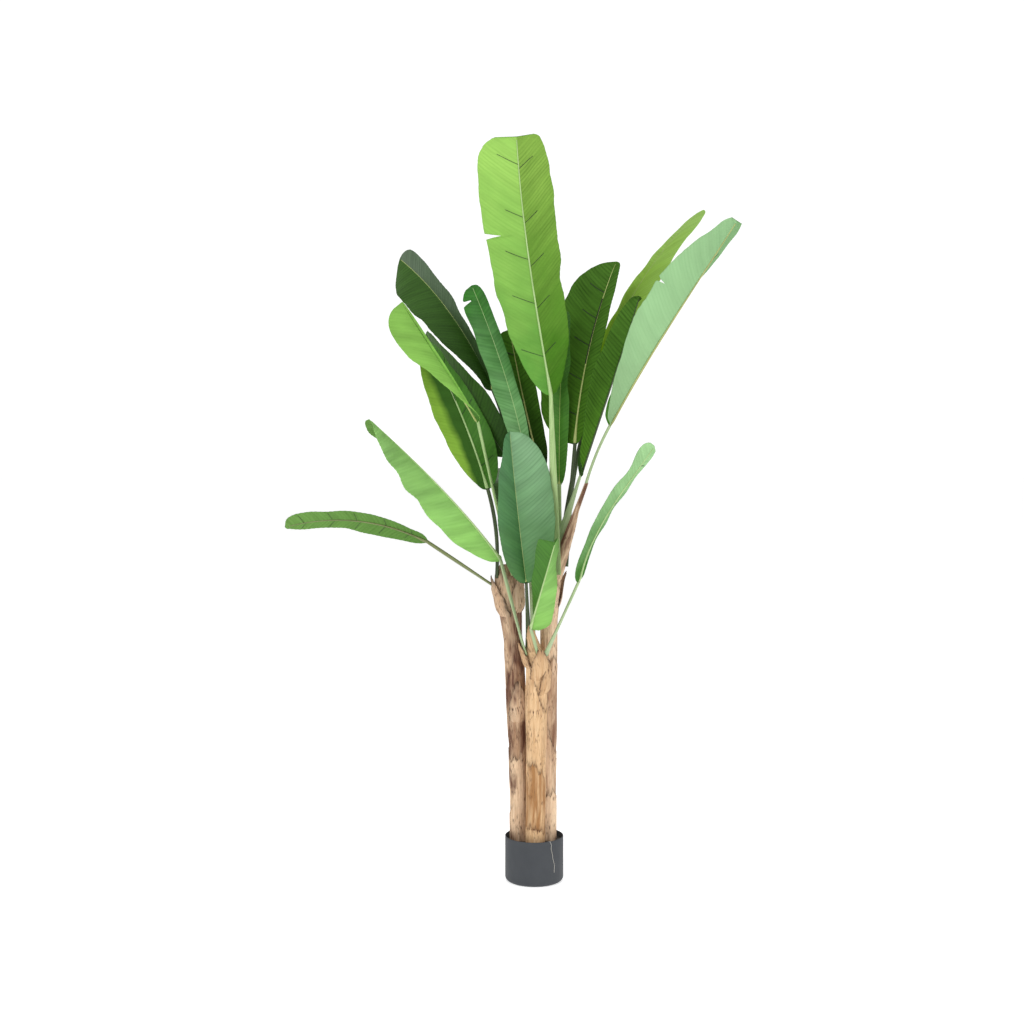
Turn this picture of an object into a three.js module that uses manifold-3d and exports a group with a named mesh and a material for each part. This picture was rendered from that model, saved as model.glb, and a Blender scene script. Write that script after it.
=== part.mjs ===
// An artificial banana plant: three fibre-wrapped stems and eighteen leaves in a small filled pot.
// Millimetres and degrees, +Z up, -Y is the front. The origin is the middle of the pot's flat underside.

import * as THREE from 'three';
import { mergeVertices } from 'three/addons/utils/BufferGeometryUtils.js';
import Module from 'manifold-3d';

const wasm = await Module();
wasm.setup();

// ---------------------------------------------------------------- driving dimensions

const CLEARANCE = 0.3; // gap between pieces that are seated on each other
const WELD = 0.001; // points of a turned shape nearer than this are one

const POT = { radius: 82.5, height: 128, wall: 2.5, floor: 4, footRound: 12, fillTop: 113, sides: 56 };
const STEM_FOOT = 20; // height at which the stems stand in the fill
const STEM_SIDES = 14;
// A torn leaf base narrows to a tongue, and stands free of the stem above a share of its height.
const SHEATH = { steps: 5, wall: 5, narrows: 0.72, freeFrom: 0.4 };

// Each stem: heights of its rings above the ground, with its middle and its radius there.
const STEMS = {
  left: {
    rings: [
      { z: STEM_FOOT, x: -40, y: 12, r: 27 },
      { z: 370, x: -47, y: 12, r: 26 },
      { z: 680, x: -61, y: 10, r: 26 },
      { z: 770, x: -68, y: 10, r: 33 },
      { z: 825, x: -74, y: 10, r: 39 },
      { z: 865, x: -78, y: 10, r: 33 },
      { z: 895, x: -80, y: 10, r: 17 },
    ],
    sheaths: [
      { round: 285, spread: 60, from: 440, to: 575, flare: 4 },
      { round: 195, spread: 75, from: 740, to: 868, flare: 4 },
      { round: 330, spread: 60, from: 750, to: 885, flare: 3 },
      { round: 80, spread: 70, from: 745, to: 880, flare: 4 },
    ],
  },
  front: {
    rings: [
      { z: STEM_FOOT, x: 1, y: -34, r: 27 },
      { z: 370, x: 4, y: -34, r: 28 },
      { z: 540, x: 6, y: -34, r: 31 },
      { z: 605, x: 8, y: -34, r: 32 },
      { z: 650, x: 0, y: -34, r: 27 },
      { z: 700, x: -10, y: -34, r: 15 },
      { z: 720, x: -12, y: -34, r: 9 },
    ],
    sheaths: [
      { round: 200, spread: 45, from: 600, to: 690, flare: 5 },
      { round: 330, spread: 50, from: 530, to: 640, flare: 3 },
      { round: 262, spread: 22, from: 650, to: 738, flare: 1 },
    ],
  },
  right: {
    rings: [
      { z: STEM_FOOT, x: 37, y: 14, r: 26 },
      { z: 370, x: 39, y: 14, r: 25 },
      { z: 740, x: 41, y: 13, r: 24 },
      { z: 850, x: 54, y: 10, r: 22 },
      { z: 920, x: 76, y: 2, r: 19 },
      { z: 994, x: 100, y: -8, r: 13 },
      { z: 1060, x: 118, y: -17, r: 8 },
      { z: 1126, x: 143, y: -26, r: 5 },
    ],
    sheaths: [
      { round: 190, spread: 60, from: 740, to: 880, flare: 3 },
      { round: 20, spread: 55, from: 760, to: 880, flare: 1 },
    ],
  },
};

// Each leaf grows from a stem at a height and a way round it. turn is the heading of its rib seen from
// above (0 is to the right, 90 to the back) and lift the slope, both at the foot, the collar and the tip.
// halves are the widths on the two sides of the rib, roll turns the blade about the rib, and fold lifts
// both sides towards each other. The blade is at its full width a shoulder from the collar, as a share of
// its length, and narrows over a nose at its tip. A straight stalk keeps its foot's heading up to the
// collar, and base is the width of a broad foot.
const LEAVES = {
  top: {
    stem: 'right', height: 870, round: 270, base: 34, stalk: 500, blade: 712, halves: [102, 117],
    turn: [232, 233, 263], lift: [87, 73, 62], roll: [0, 50, 16], fold: [25, 25],
    shoulder: 0.3, otherShoulder: 0.8, nose: 0.3,
    tears: [{ side: -1, at: 0.635, depth: 50, gap: 16 }],
    straight: true, blunt: 4,
  },
  back_left: {
    stem: 'left', height: 870, round: 100, stalk: 530, blade: 572, halves: [84, 50],
    turn: [185, 146, 127], lift: [108, 63, 27], roll: [0, -65, -85], fold: [60, 0],
    shoulder: 0.75, nose: 0.15,
  },
  left_folded: {
    stem: 'left', height: 868, round: 300, stalk: 440, blade: 385, halves: [94, 8],
    turn: [207, 205, 180], lift: [76, 56, 58], roll: [0, -53, -95], fold: [50, 26],
    shoulder: 0.48, nose: 0.39,
    straight: true,
  },
  left_inner: {
    stem: 'left', height: 860, round: 215, stalk: 250, blade: 455, halves: [66, 70],
    turn: [205, 178, 225], lift: [95, 74, 58], roll: [0, 70, 105], fold: [20, 25],
    shoulder: 0.37, nose: 0.5,
  },
  left_rear: {
    stem: 'left', height: 865, round: 45, stalk: 350, blade: 425, halves: [62, 62],
    turn: [158, 180, 142], lift: [114, 57, 53], roll: [0, -85, -120], fold: [5, 20],
    shoulder: 0.45, nose: 0.42,
  },
  middle_left: {
    stem: 'right', height: 885, round: 184, stalk: 285, blade: 545, halves: [45, 25],
    turn: [210, 174, 145], lift: [74, 80, 63], roll: [0, -55, -75], fold: [15, 0],
    shoulder: 0.35, nose: 0.1,
    tears: [{ side: 1, at: 0.93, depth: 34, gap: 14 }],
  },
  middle_rear: {
    stem: 'right', height: 872, round: 138, stalk: 278, blade: 430, halves: [62, 44],
    turn: [105, 138, 141], lift: [93, 71, 77], roll: [0, -45, -45], fold: [15, 15],
    shoulder: 0.45, nose: 0.35,
  },
  rear_narrow: {
    stem: 'right', height: 930, round: 104, stalk: 190, blade: 495, halves: [24, 32],
    turn: [104, 80, 62], lift: [70, 92, 77], roll: [0, -20, -10], fold: [15, 15],
    shoulder: 0.27, nose: 0.35,
  },
  middle_right: {
    stem: 'right', height: 890, round: 5, stalk: 345, blade: 550, halves: [122, 46],
    turn: [62, 47, 38], lift: [82, 83, 62], roll: [0, 14, 8], fold: [10, 10],
    shoulder: 0.28, nose: 0.35,
  },
  back_right: {
    stem: 'right', height: 905, round: 75, base: 26, stalk: 480, blade: 700, halves: [90, 88],
    turn: [68, 27, 39], lift: [75, 73, 35], roll: [0, 0, -15], fold: [-10, -5],
    shoulder: 0.52, nose: 0.45,
  },
  right_folded: {
    stem: 'right', height: 915, round: 168, base: 34, stalk: 238, blade: 528, halves: [44, 62],
    turn: [6, 12, -27], lift: [72, 71, 72], roll: [90, 12, -38], fold: [43, 62],
    shoulder: 0.57, nose: 0.6,
    straight: true,
  },
  right_top: {
    stem: 'right', height: 1126, round: 0, base: 11, onTip: true, stalk: 170, blade: 655, halves: [90, 102],
    turn: [335, 359, 315], lift: [73, 62, 50], roll: [0, 15, -55], fold: [40, 64],
    shoulder: 0.65, nose: 0.49,
    tears: [{ side: -1, at: 0.62, depth: 28, gap: 10 }],
  },
  low_right: {
    stem: 'front', height: 645, round: 345, base: 30, stalk: 242, blade: 440, halves: [38, 40],
    turn: [326, 290, 388], lift: [63, 64, 51], roll: [0, 45, -60], fold: [5, 10],
    shoulder: 0.13, nose: 0.1,
    straight: true,
  },
  low_front: {
    stem: 'front', height: 672, round: 240, base: 18, stalk: 181, blade: 420, halves: [80, 108],
    turn: [250, 144, 170], lift: [83, 81, 85], roll: [0, -50, -30], fold: [26, 23],
    shoulder: 0.46, nose: 0.5,
    straight: true,
  },
  low_left: {
    stem: 'front', height: 650, round: 205, base: 34, stalk: 274, blade: 555, halves: [86, 60],
    turn: [195, 186, 226], lift: [75, 54, 35], roll: [0, -50, -20], fold: [-50, -26],
    shoulder: 0.54, nose: 0.33,
    straight: true,
  },
  far_left: {
    stem: 'left', height: 835, round: 180, base: 26, stalk: 225, blade: 405, halves: [42, 44],
    turn: [184, 184, 192], lift: [34, 28, -15], roll: [0, 50, 35], fold: [-14, 10],
    shoulder: 0.5, nose: 0.14,
    straight: true,
  },
  low_small: {
    stem: 'front', height: 645, round: 290, stalk: 94, blade: 262, halves: [50, 48],
    turn: [239, 312, 312], lift: [63, 69, 68], roll: [-60, -92, -2], fold: [45, 45],
    shoulder: 0.14, nose: 0.06,
    straight: true, blunt: 4,
  },
  low_back: {
    stem: 'front', height: 680, round: 85, stalk: 230, blade: 400, halves: [72, 72],
    turn: [95, 100, 110], lift: [85, 62, 20], roll: [0, 0, 0], fold: [15, 5],
    shoulder: 0.35, nose: 0.35,
  },
};

const STALK = { footWidth: 15, collarWidth: 11, thick: 8, seat: 1.5, steps: 6 };
const BLADE = {
  thickShare: 0.0105, leastThick: 4.5, ribExtra: 1.5, steps: 12, lastStep: 0.975, tipWidth: 5,
  foldFrom: 8, foldFull: 34, // the fold opens between these half widths
};
const TEAR = { overCut: 30 }; // how far a tear's wedge reaches past the blade's faces
const ACROSS = [-1, -0.5, 0, 0.5, 1]; // where a section has points, as shares of its half width
const ROUND_TIP = 2.5; // a leaf's own blunt value above this makes its tip squarer
const FINE_STEPS = 8; // short straight pieces between two stations of a rib

const COLOURS = {
  pot: 0x575b60, fill: 0x4b4640, stem: 0xa88a5c, pale: 0x8dbb52, mid: 0x5e8c47, dark: 0x3b5f35,
};
const ROUGHNESS = { pot: 0.6, fill: 0.95, stem: 0.9, leaf: 0.55 };
const LEAF_COLOUR = {
  top: 'pale', back_left: 'dark', left_folded: 'pale', left_inner: 'mid', left_rear: 'dark',
  middle_left: 'mid', middle_rear: 'dark', rear_narrow: 'mid', middle_right: 'dark', back_right: 'pale',
  right_folded: 'dark', right_top: 'pale', low_right: 'pale', low_front: 'mid', low_left: 'pale',
  far_left: 'mid', low_small: 'pale', low_back: 'dark',
};

// ---------------------------------------------------------------- small helpers

const radians = THREE.MathUtils.degToRad;
const lerp = THREE.MathUtils.lerp;
const smoothstep = THREE.MathUtils.smoothstep;

function direction(turn, lift) {
  const level = Math.cos(radians(lift));
  return new THREE.Vector3(
    level * Math.cos(radians(turn)),
    level * Math.sin(radians(turn)),
    Math.sin(radians(lift)),
  );
}

// A closed solid through rings that all have the same number of points, with a fan over each end.
function ringSolid(rings) {
  const count = rings[0].length;
  const points = rings.flat();
  const faces = [];
  for (let i = 0; i + 1 < rings.length; i += 1) {
    for (let j = 0; j < count; j += 1) {
      const a = i * count + j;
      const b = i * count + ((j + 1) % count);
      faces.push(a, b, b + count, a, b + count, a + count);
    }
  }
  for (const [ring, first] of [[rings[0], 0], [rings.at(-1), (rings.length - 1) * count]]) {
    const centre = ring.reduce((sum, point) => sum.add(point), new THREE.Vector3()).divideScalar(count);
    const middle = points.push(centre) - 1;
    for (let j = 0; j < count; j += 1) {
      const a = first + j;
      const b = first + ((j + 1) % count);
      faces.push(...(first ? [middle, a, b] : [middle, b, a]));
    }
  }
  return solidFrom(points.flatMap((p) => [p.x, p.y, p.z]), faces);
}

// A manifold solid from a list of coordinates and triangles, turned inside out where it needs it.
function solidFrom(coordinates, faces) {
  const whole = [];
  for (let i = 0; i < faces.length; i += 3) {
    const [a, b, c] = faces.slice(i, i + 3);
    if (a !== b && b !== c && c !== a) {
      whole.push(a, b, c);
    }
  }
  const make = (triangles) => new wasm.Manifold(new wasm.Mesh({
    numProp: 3,
    vertProperties: new Float32Array(coordinates),
    triVerts: new Uint32Array(triangles),
  }));
  const solid = make(whole);
  return solid.volume() > 0 ? solid : make(whole.reverse());
}

function solidFromGeometry(geometry) {
  geometry.deleteAttribute('normal');
  geometry.deleteAttribute('uv');
  const merged = mergeVertices(geometry, WELD);
  return solidFrom([...merged.attributes.position.array], [...merged.index.array]);
}

function largestPiece(solid) {
  return solid.decompose().reduce((best, piece) => (piece.volume() > best.volume() ? piece : best));
}

function meshOf(name, solid, colour, roughness) {
  const { vertProperties, triVerts } = solid.getMesh();
  const geometry = new THREE.BufferGeometry();
  geometry.setAttribute('position', new THREE.BufferAttribute(vertProperties, 3));
  geometry.setIndex(new THREE.BufferAttribute(triVerts, 1));
  geometry.computeVertexNormals();
  const mesh = new THREE.Mesh(geometry, new THREE.MeshStandardMaterial({ color: colour, roughness }));
  mesh.name = name;
  return mesh;
}

// ---------------------------------------------------------------- stems

// The stem's middle and radius at a height, on straight lines between its rings.
function stemAt(stem, z) {
  const { rings } = STEMS[stem];
  const upper = rings.findIndex((ring) => ring.z >= z);
  const to = rings[upper < 1 ? 1 : upper];
  const from = rings[upper < 1 ? 0 : upper - 1];
  const share = (z - from.z) / (to.z - from.z);
  return {
    middle: new THREE.Vector3(lerp(from.x, to.x, share), lerp(from.y, to.y, share), z),
    radius: lerp(from.r, to.r, share),
  };
}

function stemTube(stem, grow) {
  const rings = STEMS[stem].rings.map(({ x, y, z, r }, index, all) => {
    const end = index === 0 ? -grow : grow * (index === all.length - 1);
    return Array.from({ length: STEM_SIDES }, (_, side) => {
      const angle = (2 * Math.PI * side) / STEM_SIDES;
      return new THREE.Vector3(x + (r + grow) * Math.cos(angle), y + (r + grow) * Math.sin(angle), z + end);
    });
  });
  return ringSolid(rings);
}

// A torn leaf base round the stem: fused below, and standing free as a pointed tongue above.
function stemSheath(stem, { round, spread, from, to, flare }, grow) {
  const { steps, wall, narrows, freeFrom } = SHEATH;
  const outer = Math.max(stemAt(stem, from).radius, stemAt(stem, (from + to) / 2).radius);
  const rings = [];
  for (let i = 0; i <= steps; i += 1) {
    const share = i / steps;
    const z = lerp(from - grow, to + grow, share);
    const { middle, radius } = stemAt(stem, z);
    const free = lerp(radius + 1, Math.max(outer, radius) + wall, smoothstep(share, 0, freeFrom));
    const far = free + flare * share ** 2 + grow;
    const near = Math.max(far - wall - 2 * grow, 2);
    const half = radians(spread) * (1 - narrows * share ** 2) + grow / far;
    const place = (distance, side) => {
      const angle = radians(round) + half * side;
      return middle.clone().add(new THREE.Vector3(distance * Math.cos(angle), distance * Math.sin(angle), 0));
    };
    rings.push([
      ...ACROSS.map((side) => place(far, side)),
      ...ACROSS.toReversed().map((side) => place(near, side)),
    ]);
  }
  return ringSolid(rings);
}

function stemSolid(stem, grow = 0) {
  return STEMS[stem].sheaths.reduce(
    (solid, sheath) => solid.add(stemSheath(stem, sheath, grow)),
    stemTube(stem, grow),
  );
}

// ---------------------------------------------------------------- leaves

// A leaf's three values are for its foot, its collar and its tip.
const first = (values) => values.slice(0, 2);
const last = (values) => values.slice(1);

function even(steps) {
  return Array.from({ length: steps + 1 }, (_, step) => step / steps);
}

// Stations at the given shares of an arc whose turn, lift and roll change evenly from end to end.
function walk(start, length, shares, turn, lift, roll) {
  const point = start.clone();
  let reached = 0;
  return shares.map((share) => {
    const step = (share - reached) / FINE_STEPS;
    for (let i = 0; i < FINE_STEPS; i += 1) {
      const middle = reached + (i + 0.5) * step;
      point.addScaledVector(direction(lerp(...turn, middle), lerp(...lift, middle)), length * step);
    }
    reached = share;
    const heading = lerp(...turn, share);
    const along = direction(heading, lerp(...lift, share));
    const side = new THREE.Vector3(-Math.sin(radians(heading)), Math.cos(radians(heading)), 0);
    const face = along.clone().cross(side);
    const twist = radians(lerp(...roll, share));
    side.applyAxisAngle(along, twist);
    face.applyAxisAngle(along, twist);
    return { share, point: point.clone(), along, side, face };
  });
}

function halfWidth(leaf, share, side) {
  const full = (side < 0 && leaf.otherShoulder) || leaf.shoulder;
  const shoulder = Math.sqrt(1 - (1 - Math.min(1, share / full)) ** 2);
  const past = Math.max(0, (share - 1 + leaf.nose) / leaf.nose);
  const blunt = leaf.blunt ?? ROUND_TIP;
  const nose = (1 - past ** blunt) ** (1 / blunt);
  const narrowest = lerp(STALK.collarWidth, BLADE.tipWidth, share) / 2;
  return Math.max(narrowest, leaf.halves[side > 0 ? 0 : 1] * shoulder * nose);
}

// One ring round a leaf's section: along the upper face and back along the under face.
function section({ point, side, face }, widths, fold, thick, ribExtra) {
  const place = (across, upper) => {
    const out = Math.sign(across);
    const width = widths[across > 0 ? 0 : 1] * Math.abs(across);
    const bend = radians(fold);
    const normal = out
      ? face.clone().multiplyScalar(Math.cos(bend)).addScaledVector(side, -out * Math.sin(bend))
      : face.clone().divideScalar(Math.cos(bend));
    const half = thick / 2 + (out ? 0 : ribExtra);
    return point.clone()
      .addScaledVector(side, out * width * Math.cos(bend))
      .addScaledVector(face, width * Math.sin(bend))
      .addScaledVector(normal, upper ? half : -half);
  };
  return [
    ...ACROSS.map((across) => place(across, true)),
    ...ACROSS.toReversed().map((across) => place(across, false)),
  ];
}

function leafFoot({ stem, height, round, onTip }) {
  const { middle, radius } = stemAt(stem, height);
  if (onTip) {
    return middle.add(new THREE.Vector3(0, 0, CLEARANCE));
  }
  const reach = radius + STALK.seat;
  return middle.add(new THREE.Vector3(reach * Math.cos(radians(round)), reach * Math.sin(radians(round)), 0));
}

// A wedge that cuts one tear into a blade's edge.
function tearWedge(leaf, collar, { side, at, depth, gap }) {
  const [station] = walk(collar, leaf.blade, [at], last(leaf.turn), last(leaf.lift), last(leaf.roll));
  const bend = radians(lerp(...leaf.fold, at));
  const out = station.side.clone().multiplyScalar(side * Math.cos(bend));
  out.addScaledVector(station.face, Math.sin(bend));
  const normal = out.clone().cross(station.along).normalize();
  const reach = halfWidth(leaf, at, side);
  const corners = [[reach - depth, 0], [reach + depth, -gap], [reach + depth, gap]];
  const layer = (height) => corners.map(([across, ahead]) => station.point.clone()
    .addScaledVector(out, across)
    .addScaledVector(station.along, ahead)
    .addScaledVector(normal, height));
  return ringSolid([layer(-TEAR.overCut), layer(TEAR.overCut)]);
}

function leafSolid(leaf) {
  const { turn, lift, roll } = leaf;
  const heading = (values) => (leaf.straight ? [values[0], values[0]] : first(values));
  const stalk = walk(leafFoot(leaf), leaf.stalk, even(STALK.steps), heading(turn), heading(lift), first(roll));
  const collar = stalk.at(-1).point;
  const shares = [...even(BLADE.steps).slice(0, -1), BLADE.lastStep, 1];
  const blade = walk(collar, leaf.blade, shares, last(turn), last(lift), last(roll));
  const thick = Math.max(leaf.blade * BLADE.thickShare, BLADE.leastThick);
  const stalkRings = stalk.slice(0, -1).map((station) => {
    const half = lerp(leaf.base ?? STALK.footWidth, STALK.collarWidth, station.share) / 2;
    return section(station, [half, half], 0, STALK.thick - 2 * BLADE.ribExtra, BLADE.ribExtra);
  });
  const bladeRings = blade.map((station) => {
    const widths = [halfWidth(leaf, station.share, 1), halfWidth(leaf, station.share, -1)];
    const open = smoothstep(Math.max(...widths), BLADE.foldFrom, BLADE.foldFull);
    const extra = BLADE.ribExtra * (1 - station.share);
    return section(station, widths, lerp(...leaf.fold, station.share) * open, thick, extra);
  });
  const whole = ringSolid([...stalkRings, ...bladeRings]);
  return (leaf.tears ?? []).reduce((solid, tear) => solid.subtract(tearWedge(leaf, collar, tear)), whole);
}

// ---------------------------------------------------------------- pot and fill

function turned(profile) {
  const geometry = new THREE.LatheGeometry(profile.map(([r, z]) => new THREE.Vector2(r, z)), POT.sides);
  geometry.rotateX(Math.PI / 2);
  return solidFromGeometry(geometry);
}

function potProfile() {
  const { radius, height, wall, floor, footRound } = POT;
  const corner = [0, 30, 60, 90].map((angle) => [
    radius - footRound + footRound * Math.sin(radians(angle)),
    footRound - footRound * Math.cos(radians(angle)),
  ]);
  return [[0, 0], ...corner, [radius, height], [radius - wall, height], [radius - wall, footRound],
    [radius - footRound, floor], [0, floor]];
}

function fillProfile() {
  const { radius, wall, floor, footRound, fillTop } = POT;
  const side = radius - wall - CLEARANCE;
  const base = floor + CLEARANCE;
  return [[0, base], [radius - footRound - CLEARANCE, base], [side, footRound + CLEARANCE],
    [side, fillTop], [0, fillTop]];
}

// ---------------------------------------------------------------- assembly

const plant = new THREE.Group();
const grownStems = Object.fromEntries(Object.keys(STEMS).map((stem) => [stem, stemSolid(stem, CLEARANCE)]));

plant.add(meshOf('pot', turned(potProfile()), COLOURS.pot, ROUGHNESS.pot));
const fill = Object.values(grownStems).reduce((solid, stem) => solid.subtract(stem), turned(fillProfile()));
plant.add(meshOf('pot_fill', fill, COLOURS.fill, ROUGHNESS.fill));

for (const stem of Object.keys(STEMS)) {
  plant.add(meshOf(`stem_${stem}`, largestPiece(stemSolid(stem)), COLOURS.stem, ROUGHNESS.stem));
}

for (const [name, leaf] of Object.entries(LEAVES)) {
  const solid = largestPiece(leafSolid(leaf).subtract(grownStems[leaf.stem]));
  plant.add(meshOf(`leaf_${name}`, solid, COLOURS[LEAF_COLOUR[name]], ROUGHNESS.leaf));
}

export default plant;
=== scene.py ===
"""An artificial banana plant in a pot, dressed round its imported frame.

Sizes are millimetres and degrees, as the frame's own source has them, and every mesh is made in metres.
+Z is up, -Y is the front, and the origin is the middle of the pot's flat underside.
"""

from __future__ import annotations

import logging
import math
from dataclasses import dataclass
from enum import Enum
from functools import cache

import bpy
import numpy as np
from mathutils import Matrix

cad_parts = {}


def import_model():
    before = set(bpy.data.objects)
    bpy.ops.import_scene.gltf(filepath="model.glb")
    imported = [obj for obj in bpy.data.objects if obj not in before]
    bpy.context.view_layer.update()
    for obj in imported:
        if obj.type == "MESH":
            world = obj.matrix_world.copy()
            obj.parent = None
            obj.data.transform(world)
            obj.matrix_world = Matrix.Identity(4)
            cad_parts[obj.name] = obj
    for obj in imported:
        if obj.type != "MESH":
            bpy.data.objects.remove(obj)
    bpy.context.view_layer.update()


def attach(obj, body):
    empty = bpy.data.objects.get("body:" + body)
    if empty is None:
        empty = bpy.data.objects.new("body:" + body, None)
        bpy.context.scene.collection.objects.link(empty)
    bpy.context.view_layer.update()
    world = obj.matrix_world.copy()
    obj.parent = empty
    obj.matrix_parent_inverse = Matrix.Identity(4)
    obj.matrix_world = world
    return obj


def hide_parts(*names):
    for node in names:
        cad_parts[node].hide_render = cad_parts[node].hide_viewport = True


LOG = logging.getLogger("banana_plant")
MM = 0.001
BODY = "root"
MAP = "leaf"  # the name of the map on sheets and tubes: metres across or round them, and along them
MAP_RADIUS = 27.0  # a stem's map is as wide as the way round at this radius
STRAND_RADIUS = "radius_of_strand"  # the name of the number that says how thick a strand is
VEIN_SLANT = 0.34  # how far a vein runs towards the tip for each step away from the rib

Pair = tuple[float, float]
Triple = tuple[float, float, float]
Colour = tuple[int, int, int]


# ---------------------------------------------------------------- numbers


def linear(colour: Colour) -> tuple[float, float, float, float]:
    """Turns a screen colour into the linear colour that a shader reads.

    Args:
        colour: red, green and blue as a screen shows them, from 0 to 255.

    Returns:
        Linear red, green and blue, and an alpha of 1.
    """
    shares = [channel / 255 for channel in colour]
    scene = [s / 12.92 if s <= 0.04045 else ((s + 0.055) / 1.055) ** 2.4 for s in shares]
    return (*scene, 1.0)


def between(start: float, end: float, share: np.ndarray) -> np.ndarray:
    """Values that change evenly from start to end over the shares."""
    return start + (end - start) * share


def smooth(value: np.ndarray, low: float, high: float) -> np.ndarray:
    """0 below low, 1 above high, and an even S-curve between them."""
    share = np.clip((value - low) / (high - low), 0.0, 1.0)
    return share * share * (3.0 - 2.0 * share)


def around(angle: np.ndarray) -> np.ndarray:
    """Level unit vectors at some angles in radians, counted from +X towards +Y."""
    return np.stack([np.cos(angle), np.sin(angle), np.zeros_like(angle)], axis=-1)


def noise(across: np.ndarray, along: np.ndarray, seed: int, cells: int = 64) -> np.ndarray:
    """Smooth seeded noise from -1 to 1 that repeats after a number of cells in both directions.

    Args:
        across: first coordinate, one unit to a cell.
        along: second coordinate, one unit to a cell.
        seed: chooses the pattern.
        cells: how many cells the pattern has before it repeats.

    Returns:
        The noise at each pair of coordinates.
    """
    lattice = np.random.default_rng(seed).uniform(-1.0, 1.0, (cells, cells))
    column = np.floor(across).astype(int)
    row = np.floor(along).astype(int)
    x = smooth(across - column, 0.0, 1.0)
    y = smooth(along - row, 0.0, 1.0)
    corner = [lattice[(column + i) % cells, (row + j) % cells] for i in (0, 1) for j in (0, 1)]
    near = corner[0] * (1 - y) + corner[1] * y
    far = corner[2] * (1 - y) + corner[3] * y
    return near * (1 - x) + far * x


# ---------------------------------------------------------------- materials


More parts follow.
